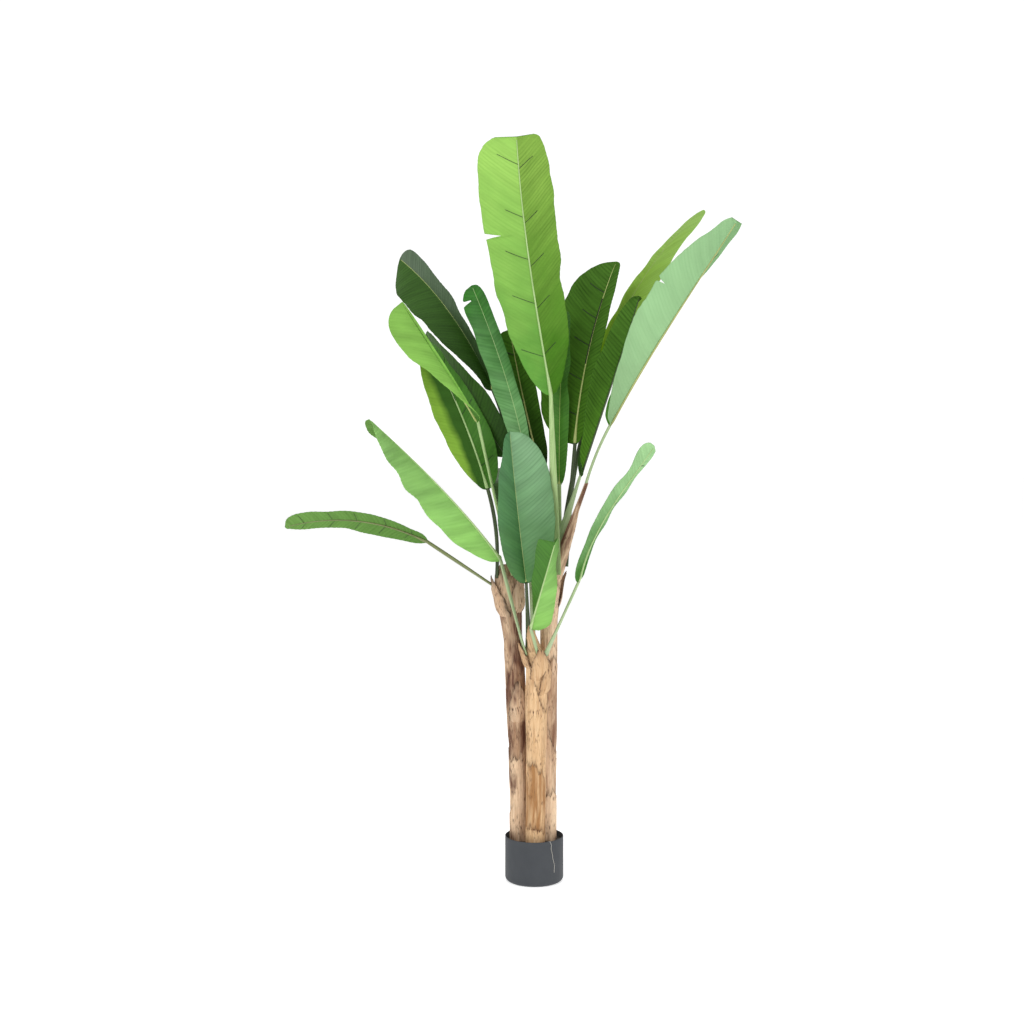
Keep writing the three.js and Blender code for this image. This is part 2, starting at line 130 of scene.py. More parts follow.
class Nodes:
    """A material's node tree, with short calls to add and join its nodes."""

    def __init__(self, name: str) -> None:
        """Makes an empty material with a Principled shader at its output.

        Args:
            name: the material's name.
        """
        self.material = bpy.data.materials.new(name)
        self.material.use_nodes = True
        self.tree = self.material.node_tree
        self.tree.nodes.clear()
        output = self.add("ShaderNodeOutputMaterial")
        self.shader = self.add("ShaderNodeBsdfPrincipled")
        self.tree.links.new(self.shader.outputs["BSDF"], output.inputs["Surface"])

    def add(self, kind: str, **settings: object) -> bpy.types.Node:
        """Adds a node to the tree.

        Args:
            kind: the type of the node.
            settings: values of the node's own properties.

        Returns:
            The new node.
        """
        node = self.tree.nodes.new(kind)
        for name, value in settings.items():
            setattr(node, name, value)
        return node

    def feed(self, socket: bpy.types.NodeSocket, value: object) -> None:
        """Gives a socket its value.

        Args:
            socket: the input to feed.
            value: another node's output to join it to, or a plain value to set it to.
        """
        if isinstance(value, bpy.types.NodeSocket):
            self.tree.links.new(value, socket)
        else:
            socket.default_value = value

    def maths(self, operation: str, *values: object) -> bpy.types.NodeSocket:
        """Adds a sum.

        Args:
            operation: the kind of sum.
            values: up to three values or outputs that it works on.

        Returns:
            Its result.
        """
        node = self.add("ShaderNodeMath", operation=operation)
        for socket, value in zip(node.inputs, values):
            self.feed(socket, value)
        return node.outputs[0]

    def times(self, value: object, factor: object) -> bpy.types.NodeSocket:
        """One value times another."""
        return self.maths("MULTIPLY", value, factor)

    def mix(self, share: object, first: object, second: object) -> bpy.types.NodeSocket:
        """Mixes two colours.

        Args:
            share: the second colour's share of the mixture, from 0 to 1.
            first: the first colour.
            second: the second colour.

        Returns:
            The mixture.
        """
        node = self.add("ShaderNodeMix", data_type="RGBA")
        self.feed(node.inputs["Factor"], share)
        self.feed(node.inputs[6], first)
        self.feed(node.inputs[7], second)
        return node.outputs[2]

    def attribute(self, name: str) -> bpy.types.NodeSocket:
        """The number that the mesh holds under a name."""
        return self.add("ShaderNodeAttribute", attribute_name=name).outputs["Fac"]

    def ramp(self, value: object, low: float, high: float) -> bpy.types.NodeSocket:
        """Spreads a part of a value's range over 0 to 1.

        Args:
            value: the value to spread.
            low: where the result is 0.
            high: where the result is 1.

        Returns:
            The spread value, held within 0 and 1.
        """
        node = self.add("ShaderNodeMapRange")
        for name, given in (("Value", value), ("From Min", low), ("From Max", high)):
            self.feed(node.inputs[name], given)
        return node.outputs["Result"]

    def grain(self, vector: object, scale: float, detail: float = 2.0) -> bpy.types.NodeSocket:
        """Adds fractal noise.

        Args:
            vector: where the noise is read.
            scale: how many grains there are to a unit.
            detail: how many finer layers it has.

        Returns:
            The noise, from about 0 to 1.
        """
        node = self.add("ShaderNodeTexNoise")
        for name, given in (("Vector", vector), ("Scale", scale), ("Detail", detail)):
            self.feed(node.inputs[name], given)
        return node.outputs[0]

    def streaks(
        self, across: object, along: object, grains: Pair, seed: float, detail: float
    ) -> bpy.types.NodeSocket:
        """Fractal noise with so many grains to a metre across the piece, and so many along it."""
        place = self.vector(self.times(across, grains[0]), self.times(along, grains[1]), seed)
        return self.grain(place, 1.0, detail)

    def own_map(self) -> tuple[bpy.types.NodeSocket, bpy.types.NodeSocket]:
        """Reads the mesh's own map.

        Returns:
            Metres across or round the piece, and metres along it.
        """
        split = self.add("ShaderNodeSeparateXYZ")
        self.feed(split.inputs[0], self.add("ShaderNodeUVMap", uv_map=MAP).outputs[0])
        return split.outputs[0], split.outputs[1]

    def vector(self, x: object, y: object, z: object) -> bpy.types.NodeSocket:
        """Joins three numbers into a vector.

        Args:
            x: its first number.
            y: its second number.
            z: its third number.

        Returns:
            The vector.
        """
        node = self.add("ShaderNodeCombineXYZ")
        for socket, value in zip(node.inputs, (x, y, z)):
            self.feed(socket, value)
        return node.outputs[0]

    def bump(self, height: object, depth: float) -> None:
        """Raises the surface in its shading.

        Args:
            height: the height, from 0 to 1.
            depth: how far a height of 1 is raised, in metres.
        """
        node = self.add("ShaderNodeBump")
        self.feed(node.inputs["Height"], height)
        node.inputs["Distance"].default_value = depth
        self.tree.links.new(node.outputs[0], self.shader.inputs["Normal"])

    def surface(self, colour: object, roughness: object, **sockets: object) -> bpy.types.Material:
        """Finishes the material.

        Args:
            colour: its colour.
            roughness: its roughness.
            sockets: values of the shader's other inputs, with _ for each space in their names.

        Returns:
            The material.
        """
        self.feed(self.shader.inputs["Base Color"], colour)
        self.feed(self.shader.inputs["Roughness"], roughness)
        for name, value in sockets.items():
            self.feed(self.shader.inputs[name.replace("_", " ")], value)
        return self.material


@dataclass(frozen=True)
class LeafCloth:
    """Printed leaf cloth: fine veins that leave the rib and bend towards the tip, and painted light and
    shade in bands along faint creases.

    Attributes:
        name: the cloth's own name.
        foot: its colour near the stalk.
        tip: its colour near the tip.
        vein: the colour of its veins.
        strength: how strongly the veins show.
        roughness: how dull it is.
        shine: how strong its reflection is.
        crease_shading: how far its painted light and shade change from one fold to the next.
        heart: a colour along the rib, where it has one.
        reach: how far the heart reaches from the rib, in metres.
        spacing: millimetres from one vein to the next.
        bend: how much faster a vein turns to the tip, further out.
        sway: how far a vein strays, in metres.
        streak_grains: grains of the print to a metre, across and along.
        crease_grains: creases to a metre, across and along.
        patch_grains: cloudy patches to a metre.
        sway_grains: bends of a vein to a metre.
    """

    name: str
    foot: Colour
    tip: Colour
    vein: Colour
    strength: float = 0.35
    roughness: float = 0.5
    shine: float = 0.0
    crease_shading: float = 0.45
    heart: Colour | None = None
    reach: float = 0.03
    spacing: float = 11.0
    bend: float = 1.1
    sway: float = 0.006
    streak_grains: Pair = (9.0, 110.0)
    crease_grains: Pair = (7.0, 36.0)
    patch_grains: float = 9.0
    sway_grains: float = 22.0

    def veins(self, nodes: Nodes, across: object, level: object, patch: object) -> bpy.types.NodeSocket:
        """Adds the veins and the streaks of the print.

        Args:
            nodes: the material's nodes.
            across: metres out from the rib, below 0 on one side.
            level: how far along the rib the vein at each place starts, in metres.
            patch: noise that lets the veins come and go.

        Returns:
            How dark they make the cloth, from 0 to 1.
        """
        sway = nodes.times(nodes.grain(nodes.vector(across, level, 0.0), self.sway_grains), self.sway)
        turns = nodes.times(nodes.maths("ADD", level, sway), 2.0 * math.pi / (self.spacing * MM))
        wave = nodes.maths("MULTIPLY_ADD", nodes.maths("SINE", turns), 0.5, 0.5)
        line = nodes.times(nodes.maths("POWER", wave, 3.0), nodes.ramp(patch, 0.3, 0.6))
        streak = nodes.ramp(nodes.streaks(across, level, self.streak_grains, 0.0, 2.0), 0.4, 0.75)
        return nodes.maths("MULTIPLY_ADD", line, 0.55, nodes.times(streak, 0.45))

    def material(self) -> bpy.types.Material:
        """Makes the cloth's material, on the blade's own map: metres across and along the rib.

        Returns:
            The material.
        """
        nodes = Nodes(f"cloth_{self.name}")
        across, along = nodes.own_map()
        out = nodes.maths("ABSOLUTE", across)
        bend = nodes.times(nodes.maths("POWER", out, 1.5), self.bend)
        lag = nodes.maths("ADD", nodes.times(out, VEIN_SLANT), bend)
        level = nodes.maths("SUBTRACT", along, lag)
        patch = nodes.grain(nodes.vector(across, along, 5.0), self.patch_grains, 3.0)
        dark = self.veins(nodes, across, level, patch)

        drift = nodes.maths("ADD", nodes.attribute("share"), nodes.maths("MULTIPLY_ADD", patch, 0.8, -0.4))
        ground = nodes.mix(nodes.ramp(drift, 0.05, 0.95), linear(self.foot), linear(self.tip))
        veined = nodes.mix(nodes.times(dark, self.strength), ground, linear(self.vein))
        if self.heart:
            near = nodes.ramp(nodes.maths("MULTIPLY_ADD", patch, -0.03, out), self.reach * 0.4, self.reach)
            veined = nodes.mix(near, linear(self.heart), veined)
        # Painted light and shade: bands along the creases lighten and darken the cloth's colour.
        band = nodes.streaks(across, level, self.crease_grains, 7.0, 3.0)
        value = nodes.maths("MULTIPLY_ADD", band, self.crease_shading, 1 - self.crease_shading / 2)
        crease_shaded = nodes.add("ShaderNodeHueSaturation")
        nodes.feed(crease_shaded.inputs["Value"], value)
        nodes.feed(crease_shaded.inputs["Color"], veined)
        return nodes.surface(crease_shaded.outputs[0], self.roughness, Specular_IOR_Level=self.shine)


@dataclass(frozen=True)
class StalkSkin:
    """Moulded stalk and rib: long faint streaks along a waxy skin.

    Attributes:
        name: the skin's own name.
        light: the colour of its light streaks.
        dark: the colour of its dark streaks.
        grains: streaks to a metre, round and along.
        depth: how deep the streaks are, in metres.
        roughness: how dull it is.
    """

    name: str
    light: Colour
    dark: Colour
    grains: Pair = (420.0, 14.0)
    depth: float = 0.0004
    roughness: float = 0.5

    def material(self) -> bpy.types.Material:
        """Makes the skin's material, on the stalk's own map: metres round and along it.

        Returns:
            The material.
        """
        nodes = Nodes(f"stalk_{self.name}")
        streak = nodes.streaks(*nodes.own_map(), self.grains, 0.0, 3.0)
        colour = nodes.mix(nodes.ramp(streak, 0.3, 0.7), linear(self.dark), linear(self.light))
        nodes.bump(streak, self.depth)
        return nodes.surface(colour, self.roughness)


@dataclass(frozen=True)
class BarkFibre:
    """Dried fibre wrapping: upright streaks, dark cracks, and brown where it is weathered.

    Attributes:
        name: the fibre's own name.
        light: the colour of its light streaks.
        tan: the colour between them.
        brown: the colour of its weathered places, of the painted shade on the left stem's side towards the
            front stem, and of its flecks.
        crack: the colour of its cracks and frayed ends, and of the painted shade just above each wrapping's
            lip.
        warm: the colour of a warmer wrapping.
        brownness: how much of it is weathered.
        depth: how deep its relief is, in metres.
        roughness: how dull it is.
        fibres: grains of the fibre to a metre, round and up.
        bands: the same for its bands of tan.
        patches: the same for its weathered patches.
        flecks: the same for its flecks.
        clusters: the same for the places where the flecks gather.
    """

    name: str
    light: Colour
    tan: Colour
    brown: Colour
    crack: Colour
    warm: Colour
    brownness: float = 0.5
    depth: float = 0.0016
    roughness: float = 0.88
    fibres: Pair = (340.0, 13.0)
    bands: Pair = (70.0, 7.0)
    patches: Pair = (26.0, 8.0)
    flecks: Pair = (420.0, 62.0)
    clusters: Pair = (34.0, 16.0)

    def weathered(self, nodes: Nodes, patch: object, fibre: object) -> bpy.types.NodeSocket:
        """Adds the brown places: the fibre's own weathered patches and those that the mesh holds, some of
        which are painted shade.

        Args:
            nodes: the material's nodes.
            patch: noise for the fibre's own patches.
            fibre: the fibre's noise, which mottles them.

        Returns:
            How brown each place is, from 0 to 1.
        """
        found = nodes.ramp(patch, 0.62 - 0.16 * self.brownness, 0.74 - 0.12 * self.brownness)
        share = nodes.maths("MAXIMUM", nodes.times(found, self.brownness), nodes.attribute("brownness"))
        mottle = nodes.maths("MULTIPLY_ADD", nodes.ramp(fibre, 0.3, 0.55), 0.6, 0.4)
        return nodes.times(share, mottle)

    def material(self) -> bpy.types.Material:
        """Makes the fibre's material, on the stem's own map: metres round and up it.

        Returns:
            The material.
        """
        nodes = Nodes(f"bark_{self.name}")
        place = nodes.own_map()
        fibre = nodes.streaks(*place, self.fibres, 1.0, 5.0)
        band = nodes.streaks(*place, self.bands, 4.0, 3.0)
        patch = nodes.streaks(*place, self.patches, 9.0, 5.0)
        fleck = nodes.streaks(*place, self.flecks, 13.0, 4.0)
        cluster = nodes.ramp(nodes.streaks(*place, self.clusters, 17.0, 3.0), 0.46, 0.6)
        banded = nodes.times(nodes.ramp(band, 0.48, 0.68), 0.5)
        warmed = nodes.times(nodes.attribute("tone"), nodes.ramp(band, 0.3, 0.55))
        gathered = nodes.maths("MULTIPLY_ADD", cluster, 0.6, 0.2)
        flecked = nodes.times(nodes.ramp(fleck, 0.5, 0.66), gathered)
        # Painted shade above each wrapping's lip, with the dark of the frayed ends, read from the mesh's
        # edge share.
        frayed = nodes.times(nodes.attribute("edge"), nodes.ramp(fibre, 0.28, 0.5))
        cracks_and_lip_shade = nodes.maths("MAXIMUM", nodes.times(nodes.ramp(fleck, 0.6, 0.68), cluster), frayed)

        ground = nodes.mix(nodes.ramp(fibre, 0.36, 0.62), linear(self.tan), linear(self.light))
        layers = (
            (banded, self.tan),
            (warmed, self.warm),
            (self.weathered(nodes, patch, fibre), self.brown),
            (flecked, self.brown),
            (cracks_and_lip_shade, self.crack),
        )
        for share, colour in layers:
            ground = nodes.mix(share, ground, linear(colour))
        raised = nodes.maths("MULTIPLY_ADD", band, 0.5, fibre)
        nodes.bump(nodes.maths("SUBTRACT", raised, nodes.times(cracks_and_lip_shade, 0.4)), self.depth)
        return nodes.surface(ground, self.roughness)


@dataclass(frozen=True)
class PlainGrain:
    """A moulded or cast surface with a fine grain all over it.

    Attributes:
        name: the material's name.
        light: the colour of its light grains.
        dark: the colour of its dark grains.
        grain: grains to a metre. Its patches are thirty times as large.
        depth: how deep the grain is, in metres.
        roughness: how dull it is.
        shine: how strong its reflection is.
    """

    name: str
    light: Colour
    dark: Colour
    grain: float
    depth: float
    roughness: float
    shine: float = 0.5

    def material(self) -> bpy.types.Material:
        """Makes the material, on the piece's own place.

        Returns:
            The material.
        """
        nodes = Nodes(self.name)
        place = nodes.add("ShaderNodeTexCoord").outputs["Object"]
        fine = nodes.grain(place, self.grain, 4.0)
        patch = nodes.grain(place, self.grain / 30.0, 3.0)
        both = nodes.maths("MULTIPLY_ADD", fine, 0.5, nodes.times(patch, 0.5))
        colour = nodes.mix(nodes.ramp(both, 0.3, 0.7), linear(self.dark), linear(self.light))
        nodes.bump(fine, self.depth)
        return nodes.surface(colour, self.roughness, Specular_IOR_Level=self.shine)


class Cloth(Enum):
    """The leaf cloths that the plant is made of."""

    LIME = LeafCloth("lime", (92, 146, 62), (146, 190, 92), (92, 142, 52), 0.3)
    # Painted shade: a darker copy of lime for the top leaf's half that faces away from the key lamp.
    LIME_SHADED = LeafCloth("lime_shaded", (74, 122, 36), (128, 166, 72), (50, 90, 24), 0.5)
    SPRING = LeafCloth("spring", (148, 202, 96), (122, 168, 78), (88, 136, 50), 0.35, crease_shading=0.6)
    APPLE = LeafCloth("apple", (134, 184, 96), (136, 182, 106), (98, 150, 66), 0.3, crease_shading=0.8)
    BACKLIT = LeafCloth("backlit", (122, 166, 0), (158, 198, 106), (104, 138, 40), 0.4)
    GLOWING = LeafCloth("glowing", (132, 172, 66), (126, 166, 62), (100, 138, 42), 0.4, heart=(56, 92, 36))
    SEA = LeafCloth("sea", (136, 170, 124), (152, 194, 142), (112, 156, 104), 0.25, crease_shading=0.25)
    # Painted shade: a darker copy of sea for the half of right_top's under face that the fill lamp lights
    # more.
    SAGE = LeafCloth("sage", (116, 152, 104), (122, 160, 112), (96, 136, 88), 0.3, crease_shading=0.25)
    FADED = LeafCloth("faded", (70, 116, 52), (156, 198, 142), (66, 106, 52), 0.3)
    GRASS = LeafCloth("grass", (72, 126, 40), (70, 120, 42), (34, 74, 22), 0.6, shine=0.2)
    # Its pale colour near the stalk is a painted highlight; towards the tip it is the cloth's own green.
    JADE_HIGHLIT = LeafCloth("jade_highlit", (112, 158, 102), (50, 112, 34), (28, 78, 22), 0.6, shine=0.15, crease_shading=0.9)
    OLIVE = LeafCloth("olive", (74, 118, 34), (80, 122, 46), (30, 56, 14), 0.75)
    # Its near-black colour near the stalk is painted shade deep in the crown; towards the tip it is the
    # cloth's own green.
    DEEP_SHADED = LeafCloth("deep", (16, 34, 10), (76, 120, 38), (12, 24, 6), 0.6)
    FOREST = LeafCloth("forest", (44, 78, 22), (60, 96, 36), (22, 44, 12), 0.65, shine=0.15)
    # Painted sheen: a copy of forest that turns greyer and lighter towards the tip, for back_left's second
    # half.
    FOREST_SHEEN = LeafCloth("forest_sheen", (50, 80, 32), (92, 110, 88), (40, 58, 36), 0.55, shine=0.15)
    TEAL = LeafCloth("teal", (68, 114, 58), (82, 132, 86), (42, 86, 46), 0.6, shine=0.3, crease_shading=0.7)
    # Painted highlight: a lighter copy of teal for low_front's second half.
    MIST = LeafCloth("teal_highlit", (80, 128, 70), (126, 168, 124), (60, 104, 62), 0.5, shine=0.3, crease_shading=0.7)
    MOSS = LeafCloth("moss", (92, 132, 64), (106, 146, 76), (60, 94, 38), 0.5)


class Skin(Enum):
    """The stalk and rib skins."""

    PALE = StalkSkin("pale", (176, 200, 140), (140, 172, 104))
    GREY = StalkSkin("grey", (176, 194, 148), (140, 164, 116))
    YELLOW = StalkSkin("yellow", (206, 214, 140), (160, 176, 92))
    TAN = StalkSkin("tan", (176, 176, 112), (134, 144, 76))
    DARK = StalkSkin("dark", (74, 90, 52), (46, 58, 34))
    OLIVE = StalkSkin("olive", (124, 132, 82), (92, 104, 54))


class Fibre(Enum):
    """The stems' wrappings."""

    LEFT = BarkFibre(
        "left", (238, 209, 175), (210, 175, 140), (92, 54, 38), (36, 21, 15), (140, 98, 68), 1.0
    )
    FRONT = BarkFibre(
        "front", (236, 202, 158), (206, 166, 122), (132, 88, 56), (70, 42, 27), (162, 116, 70), 0.35
    )
    RIGHT = BarkFibre(
        "right", (246, 218, 184), (216, 182, 148), (108, 66, 46), (48, 29, 20), (162, 120, 90), 0.85
    )


class Plain(Enum):
    """The remaining finishes."""

    POT = PlainGrain("pot_plastic", (70, 73, 77), (63, 66, 70), 900.0, 0.0002, 0.6, 0.25)
    CEMENT = PlainGrain("cement", (92, 84, 76), (48, 42, 37), 160.0, 0.002, 0.95)
    WIRE = PlainGrain("wire", (34, 44, 28), (22, 29, 20), 500.0, 0.0002, 0.6)
    THREAD = PlainGrain("thread", (226, 222, 212), (188, 182, 170), 300.0, 0.0002, 0.7)
    HAIR = PlainGrain("loose_fibre", (206, 180, 138), (150, 118, 82), 300.0, 0.0002, 0.85)


@cache
def material_of(choice: Enum) -> bpy.types.Material:
    """The material of a finish, made the first time that it is asked for."""
    return choice.value.material()


# ---------------------------------------------------------------- meshes


def new_mesh(
    name: str,
    points: np.ndarray,
    faces: list[list[int]],
    layout: np.ndarray,
    numbers: dict[str, np.ndarray],
    finishes: list[bpy.types.Material],
    finish_of_face: np.ndarray,
) -> bpy.types.Object:
    """Makes a mesh object at the origin.

    Args:
        name: the object's name.
        points: its vertices, in millimetres.
        faces: the vertex numbers of each face.
        layout: the map's two coordinates for each corner of each face, in metres.
        numbers: named numbers for each vertex, for the materials to read.
        finishes: the materials.
        finish_of_face: which of the materials each face has.

    Returns:
        The new object, linked to the scene.
    """
    mesh = bpy.data.meshes.new(name)
    mesh.from_pydata((points * MM).tolist(), [], faces)
    mesh.uv_layers.new(name=MAP).uv.foreach_set("vector", layout.astype(np.float32).ravel())
    for key, values in numbers.items():
        held = mesh.attributes.new(key, "FLOAT", "POINT")
        held.data.foreach_set("value", values.astype(np.float32).ravel())
    for finish in finishes:
        mesh.materials.append(finish)
    mesh.polygons.foreach_set("material_index", finish_of_face.astype(np.int32))
    mesh.polygons.foreach_set("use_smooth", np.ones(len(faces), dtype=bool))
    mesh.update()
    made = bpy.data.objects.new(name, mesh)
    bpy.context.scene.collection.objects.link(made)
    return made


def grid_faces(rows: int, columns: int, width: int) -> np.ndarray:
    """Quads over a grid of vertices, row by row.

    Args:
        rows: how many rows of vertices.
        columns: how many quads stand side by side in a row.
        width: how many vertices a row has. A row with as many quads as vertices joins its own start.

    Returns:
        Four vertex numbers for each quad.
    """
    row, column = np.meshgrid(np.arange(rows - 1) * width, np.arange(columns), indexing="ij")
    over = (column + 1) % width
    corners = [row + column, row + over, row + width + over, row + width + column]
    return np.stack(corners, axis=-1).reshape(-1, 4)


def shell_faces(rows: int, columns: int) -> tuple[np.ndarray, np.ndarray]:
    """Faces of a closed sheet: an upper grid, an under grid after it, and a rim that joins them.

    Args:
        rows: how many rows of vertices each grid has.
        columns: how many vertices a row has.

    Returns:
        Four vertex numbers for each face, and for each face 0 on the upper grid, 1 on the under grid
        and 2 on the rim.
    """
    count = rows * columns
    grid = grid_faces(rows, columns - 1, columns)
    last = count - columns
    ring = np.concatenate([
        np.arange(columns - 1),
        np.arange(columns - 1, count - 1, columns),
        np.arange(count - 1, last, -1),
        np.arange(last, 0, -columns),
    ])
    following = np.roll(ring, -1)
    rim = np.stack([ring, following, following + count, ring + count], axis=-1)
    kinds = np.repeat([0, 1, 2], [len(grid), len(grid), len(rim)])
    return np.concatenate([grid[:, ::-1], grid + count, rim]), kinds


def sheet_object(
    name: str,
    middle: np.ndarray,
    normal: np.ndarray,
    thick: np.ndarray,
    layout: np.ndarray,
    numbers: dict[str, np.ndarray],
    finishes: list[bpy.types.Material],
    pick: np.ndarray,
) -> bpy.types.Object:
    """Makes a closed sheet round a grid of middle points.

    Args:
        name: the object's name.
        middle: rows by columns of points, in millimetres.
        normal: the unit normal at each point, which points out of the upper face.
        thick: the thickness at each point.
        layout: the map's two coordinates at each point.
        numbers: named numbers at each point.
        finishes: the materials.
        pick: for each kind of face (upper, under, rim) and column, which material it has.

    Returns:
        The new object.
    """
    rows, columns = middle.shape[:2]
    half = normal * (thick / 2)[..., None]
    points = np.concatenate([(middle + half).reshape(-1, 3), (middle - half).reshape(-1, 3)])
    faces, kinds = shell_faces(rows, columns)
    column = faces.min(axis=1) % columns
    corners = np.tile(layout.reshape(-1, 2), (2, 1))[faces.ravel()]
    twice = {key: np.tile(value.ravel(), 2) for key, value in numbers.items()}
    return new_mesh(name, points, faces.tolist(), corners, twice, finishes, pick[kinds, column])


def tube_object(
    name: str,
    rings: np.ndarray,
    layout: np.ndarray,
    numbers: dict[str, np.ndarray],
    finishes: list[bpy.types.Material],
    finish_of_row: np.ndarray,
) -> bpy.types.Object:
    """Makes a closed tube through rings of points, with a fan over each end.

    Args:
        name: the object's name.
        rings: rows by columns of points, in millimetres.
        layout: the map's two coordinates at each point and, in one more column, back at the first one.
        numbers: named numbers at each point.
        finishes: the materials.
        finish_of_row: which material the faces after each row have.

    Returns:
        The new object.
    """
    rows, columns = rings.shape[:2]
    points = np.concatenate([rings.reshape(-1, 3), rings[:1].mean(axis=1), rings[-1:].mean(axis=1)])
    body = grid_faces(rows, columns, columns)
    ring = np.arange(columns)
    following = np.roll(ring, -1)
    centre = np.full(columns, rows * columns)
    last = (rows - 1) * columns
    foot = np.stack([centre, following, ring], axis=-1)
    top = np.stack([centre + 1, last + ring, last + following], axis=-1)
    flat = layout.reshape(-1, 2)
    corners = [flat[grid_faces(rows, columns, columns + 1).ravel()]]
    for edge, order in ((layout[0], (1, 0)), (layout[-1], (0, 1))):
        fan = [np.broadcast_to(edge.mean(axis=0), (columns, 2)), *(edge[ring + step] for step in order)]
        corners.append(np.stack(fan, axis=1).reshape(-1, 2))
    kinds = [np.repeat(finish_of_row[:-1], columns), np.repeat(finish_of_row[[0, -1]], columns)]
    values = {key: np.concatenate([v.ravel(), v[0, :1], v[-1, :1]]) for key, v in numbers.items()}
    faces = body.tolist() + foot.tolist() + top.tolist()
    return new_mesh(name, points, faces, np.concatenate(corners), values, finishes, np.concatenate(kinds))


def set_down(piece: bpy.types.Object, slot: str, *replaced: str) -> None:
    """Lets a finished piece ride on the plant's body.

    Args:
        piece: the piece.
        slot: its slot; not used.
        replaced: the frame nodes that it stands for.
    """
    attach(piece, BODY)
    if replaced:
        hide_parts(*replaced)
    LOG.info("%s: %d faces", piece.name, len(piece.data.polygons))


# ---------------------------------------------------------------- geometry nodes


class Tree:
    """A Geometry Nodes tree with named inputs, applied to an object and turned into a plain mesh."""

    def __init__(self, name: str, inputs: dict[str, str]) -> None:
        """Makes the tree's group and its inputs.

        Args:
            name: the group's name.
            inputs: the socket type of each input, by its name.
        """
        self.group = bpy.data.node_groups.new(name, "GeometryNodeTree")
        self.group.interface.new_socket("Geometry", in_out="OUTPUT", socket_type="NodeSocketGeometry")
        self.group.interface.new_socket("Geometry", in_out="INPUT", socket_type="NodeSocketGeometry")
        for label, kind in inputs.items():
            self.group.interface.new_socket(label, in_out="INPUT", socket_type=kind)
        self.start = self.add("NodeGroupInput")
        self.end = self.add("NodeGroupOutput")

    def add(self, kind: str, links: dict[str, object] | None = None, **settings: object) -> bpy.types.Node:
        """Adds a node to the tree.

        Args:
            kind: the type of the node.
            links: an output or a plain value for each named input.
            settings: values of the node's own properties.

        Returns:
            The new node.
        """
        node = self.group.nodes.new(kind)
        for name, value in settings.items():
            setattr(node, name, value)
        for name, value in (links or {}).items():
            if isinstance(value, bpy.types.NodeSocket):
                self.group.links.new(value, node.inputs[name])
            else:
                node.inputs[name].default_value = value
        return node

    def given(self, label: str) -> bpy.types.NodeSocket:
        """One of the tree's inputs."""
        return self.start.outputs[label]

    def finish(self, geometry: bpy.types.NodeSocket) -> None:
        """Ends the tree in Realize Instances and Set Material.

        Args:
            geometry: what the tree has made.
        """
        real = self.add("GeometryNodeRealizeInstances", {"Geometry": geometry})
        dressed = self.add(
            "GeometryNodeSetMaterial", {"Geometry": real.outputs[0], "Material": self.given("Material")}
        )
        self.group.links.new(dressed.outputs[0], self.end.inputs[0])

    def run(self, piece: bpy.types.Object, values: dict[str, object]) -> bpy.types.Object:
        """Gives a piece the mesh that the tree makes of it, with no modifier left.

        Args:
            piece: the piece, which holds the mesh to start from.
            values: the value of each named input.

        Returns:
            The same piece.
        """
        modifier = piece.modifiers.new(self.group.name, "NODES")
        modifier.node_group = self.group
        for item in self.group.interface.items_tree:
            if item.in_out == "INPUT" and item.name in values:
                modifier[item.identifier] = values[item.name]
        bpy.context.view_layer.update()
        evaluated = piece.evaluated_get(bpy.context.evaluated_depsgraph_get())
        mesh = bpy.data.meshes.new_from_object(evaluated)
        piece.modifiers.clear()
        piece.data = mesh
        return piece


def strand_tree() -> Tree:
    """Makes the tree that lays a round strand along every chain of edges.

    Returns:
        The tree. The strand's radius is the number that each point holds.
    """
    tree = Tree("strands", {"Sides": "NodeSocketInt", "Material": "NodeSocketMaterial"})
    lines = tree.add("GeometryNodeMeshToCurve", {"Mesh": tree.given("Geometry")})
    radius = tree.add("GeometryNodeInputNamedAttribute", {"Name": STRAND_RADIUS}, data_type="FLOAT")
    ring = tree.add("GeometryNodeCurvePrimitiveCircle", {"Resolution": tree.given("Sides"), "Radius": 1.0})
    swept = tree.add(
        "GeometryNodeCurveToMesh",
        {
            "Curve": lines.outputs[0],
            "Profile Curve": ring.outputs[0],
            "Scale": radius.outputs[0],
            "Fill Caps": True,
        },
    )
    tree.finish(swept.outputs[0])
    return tree


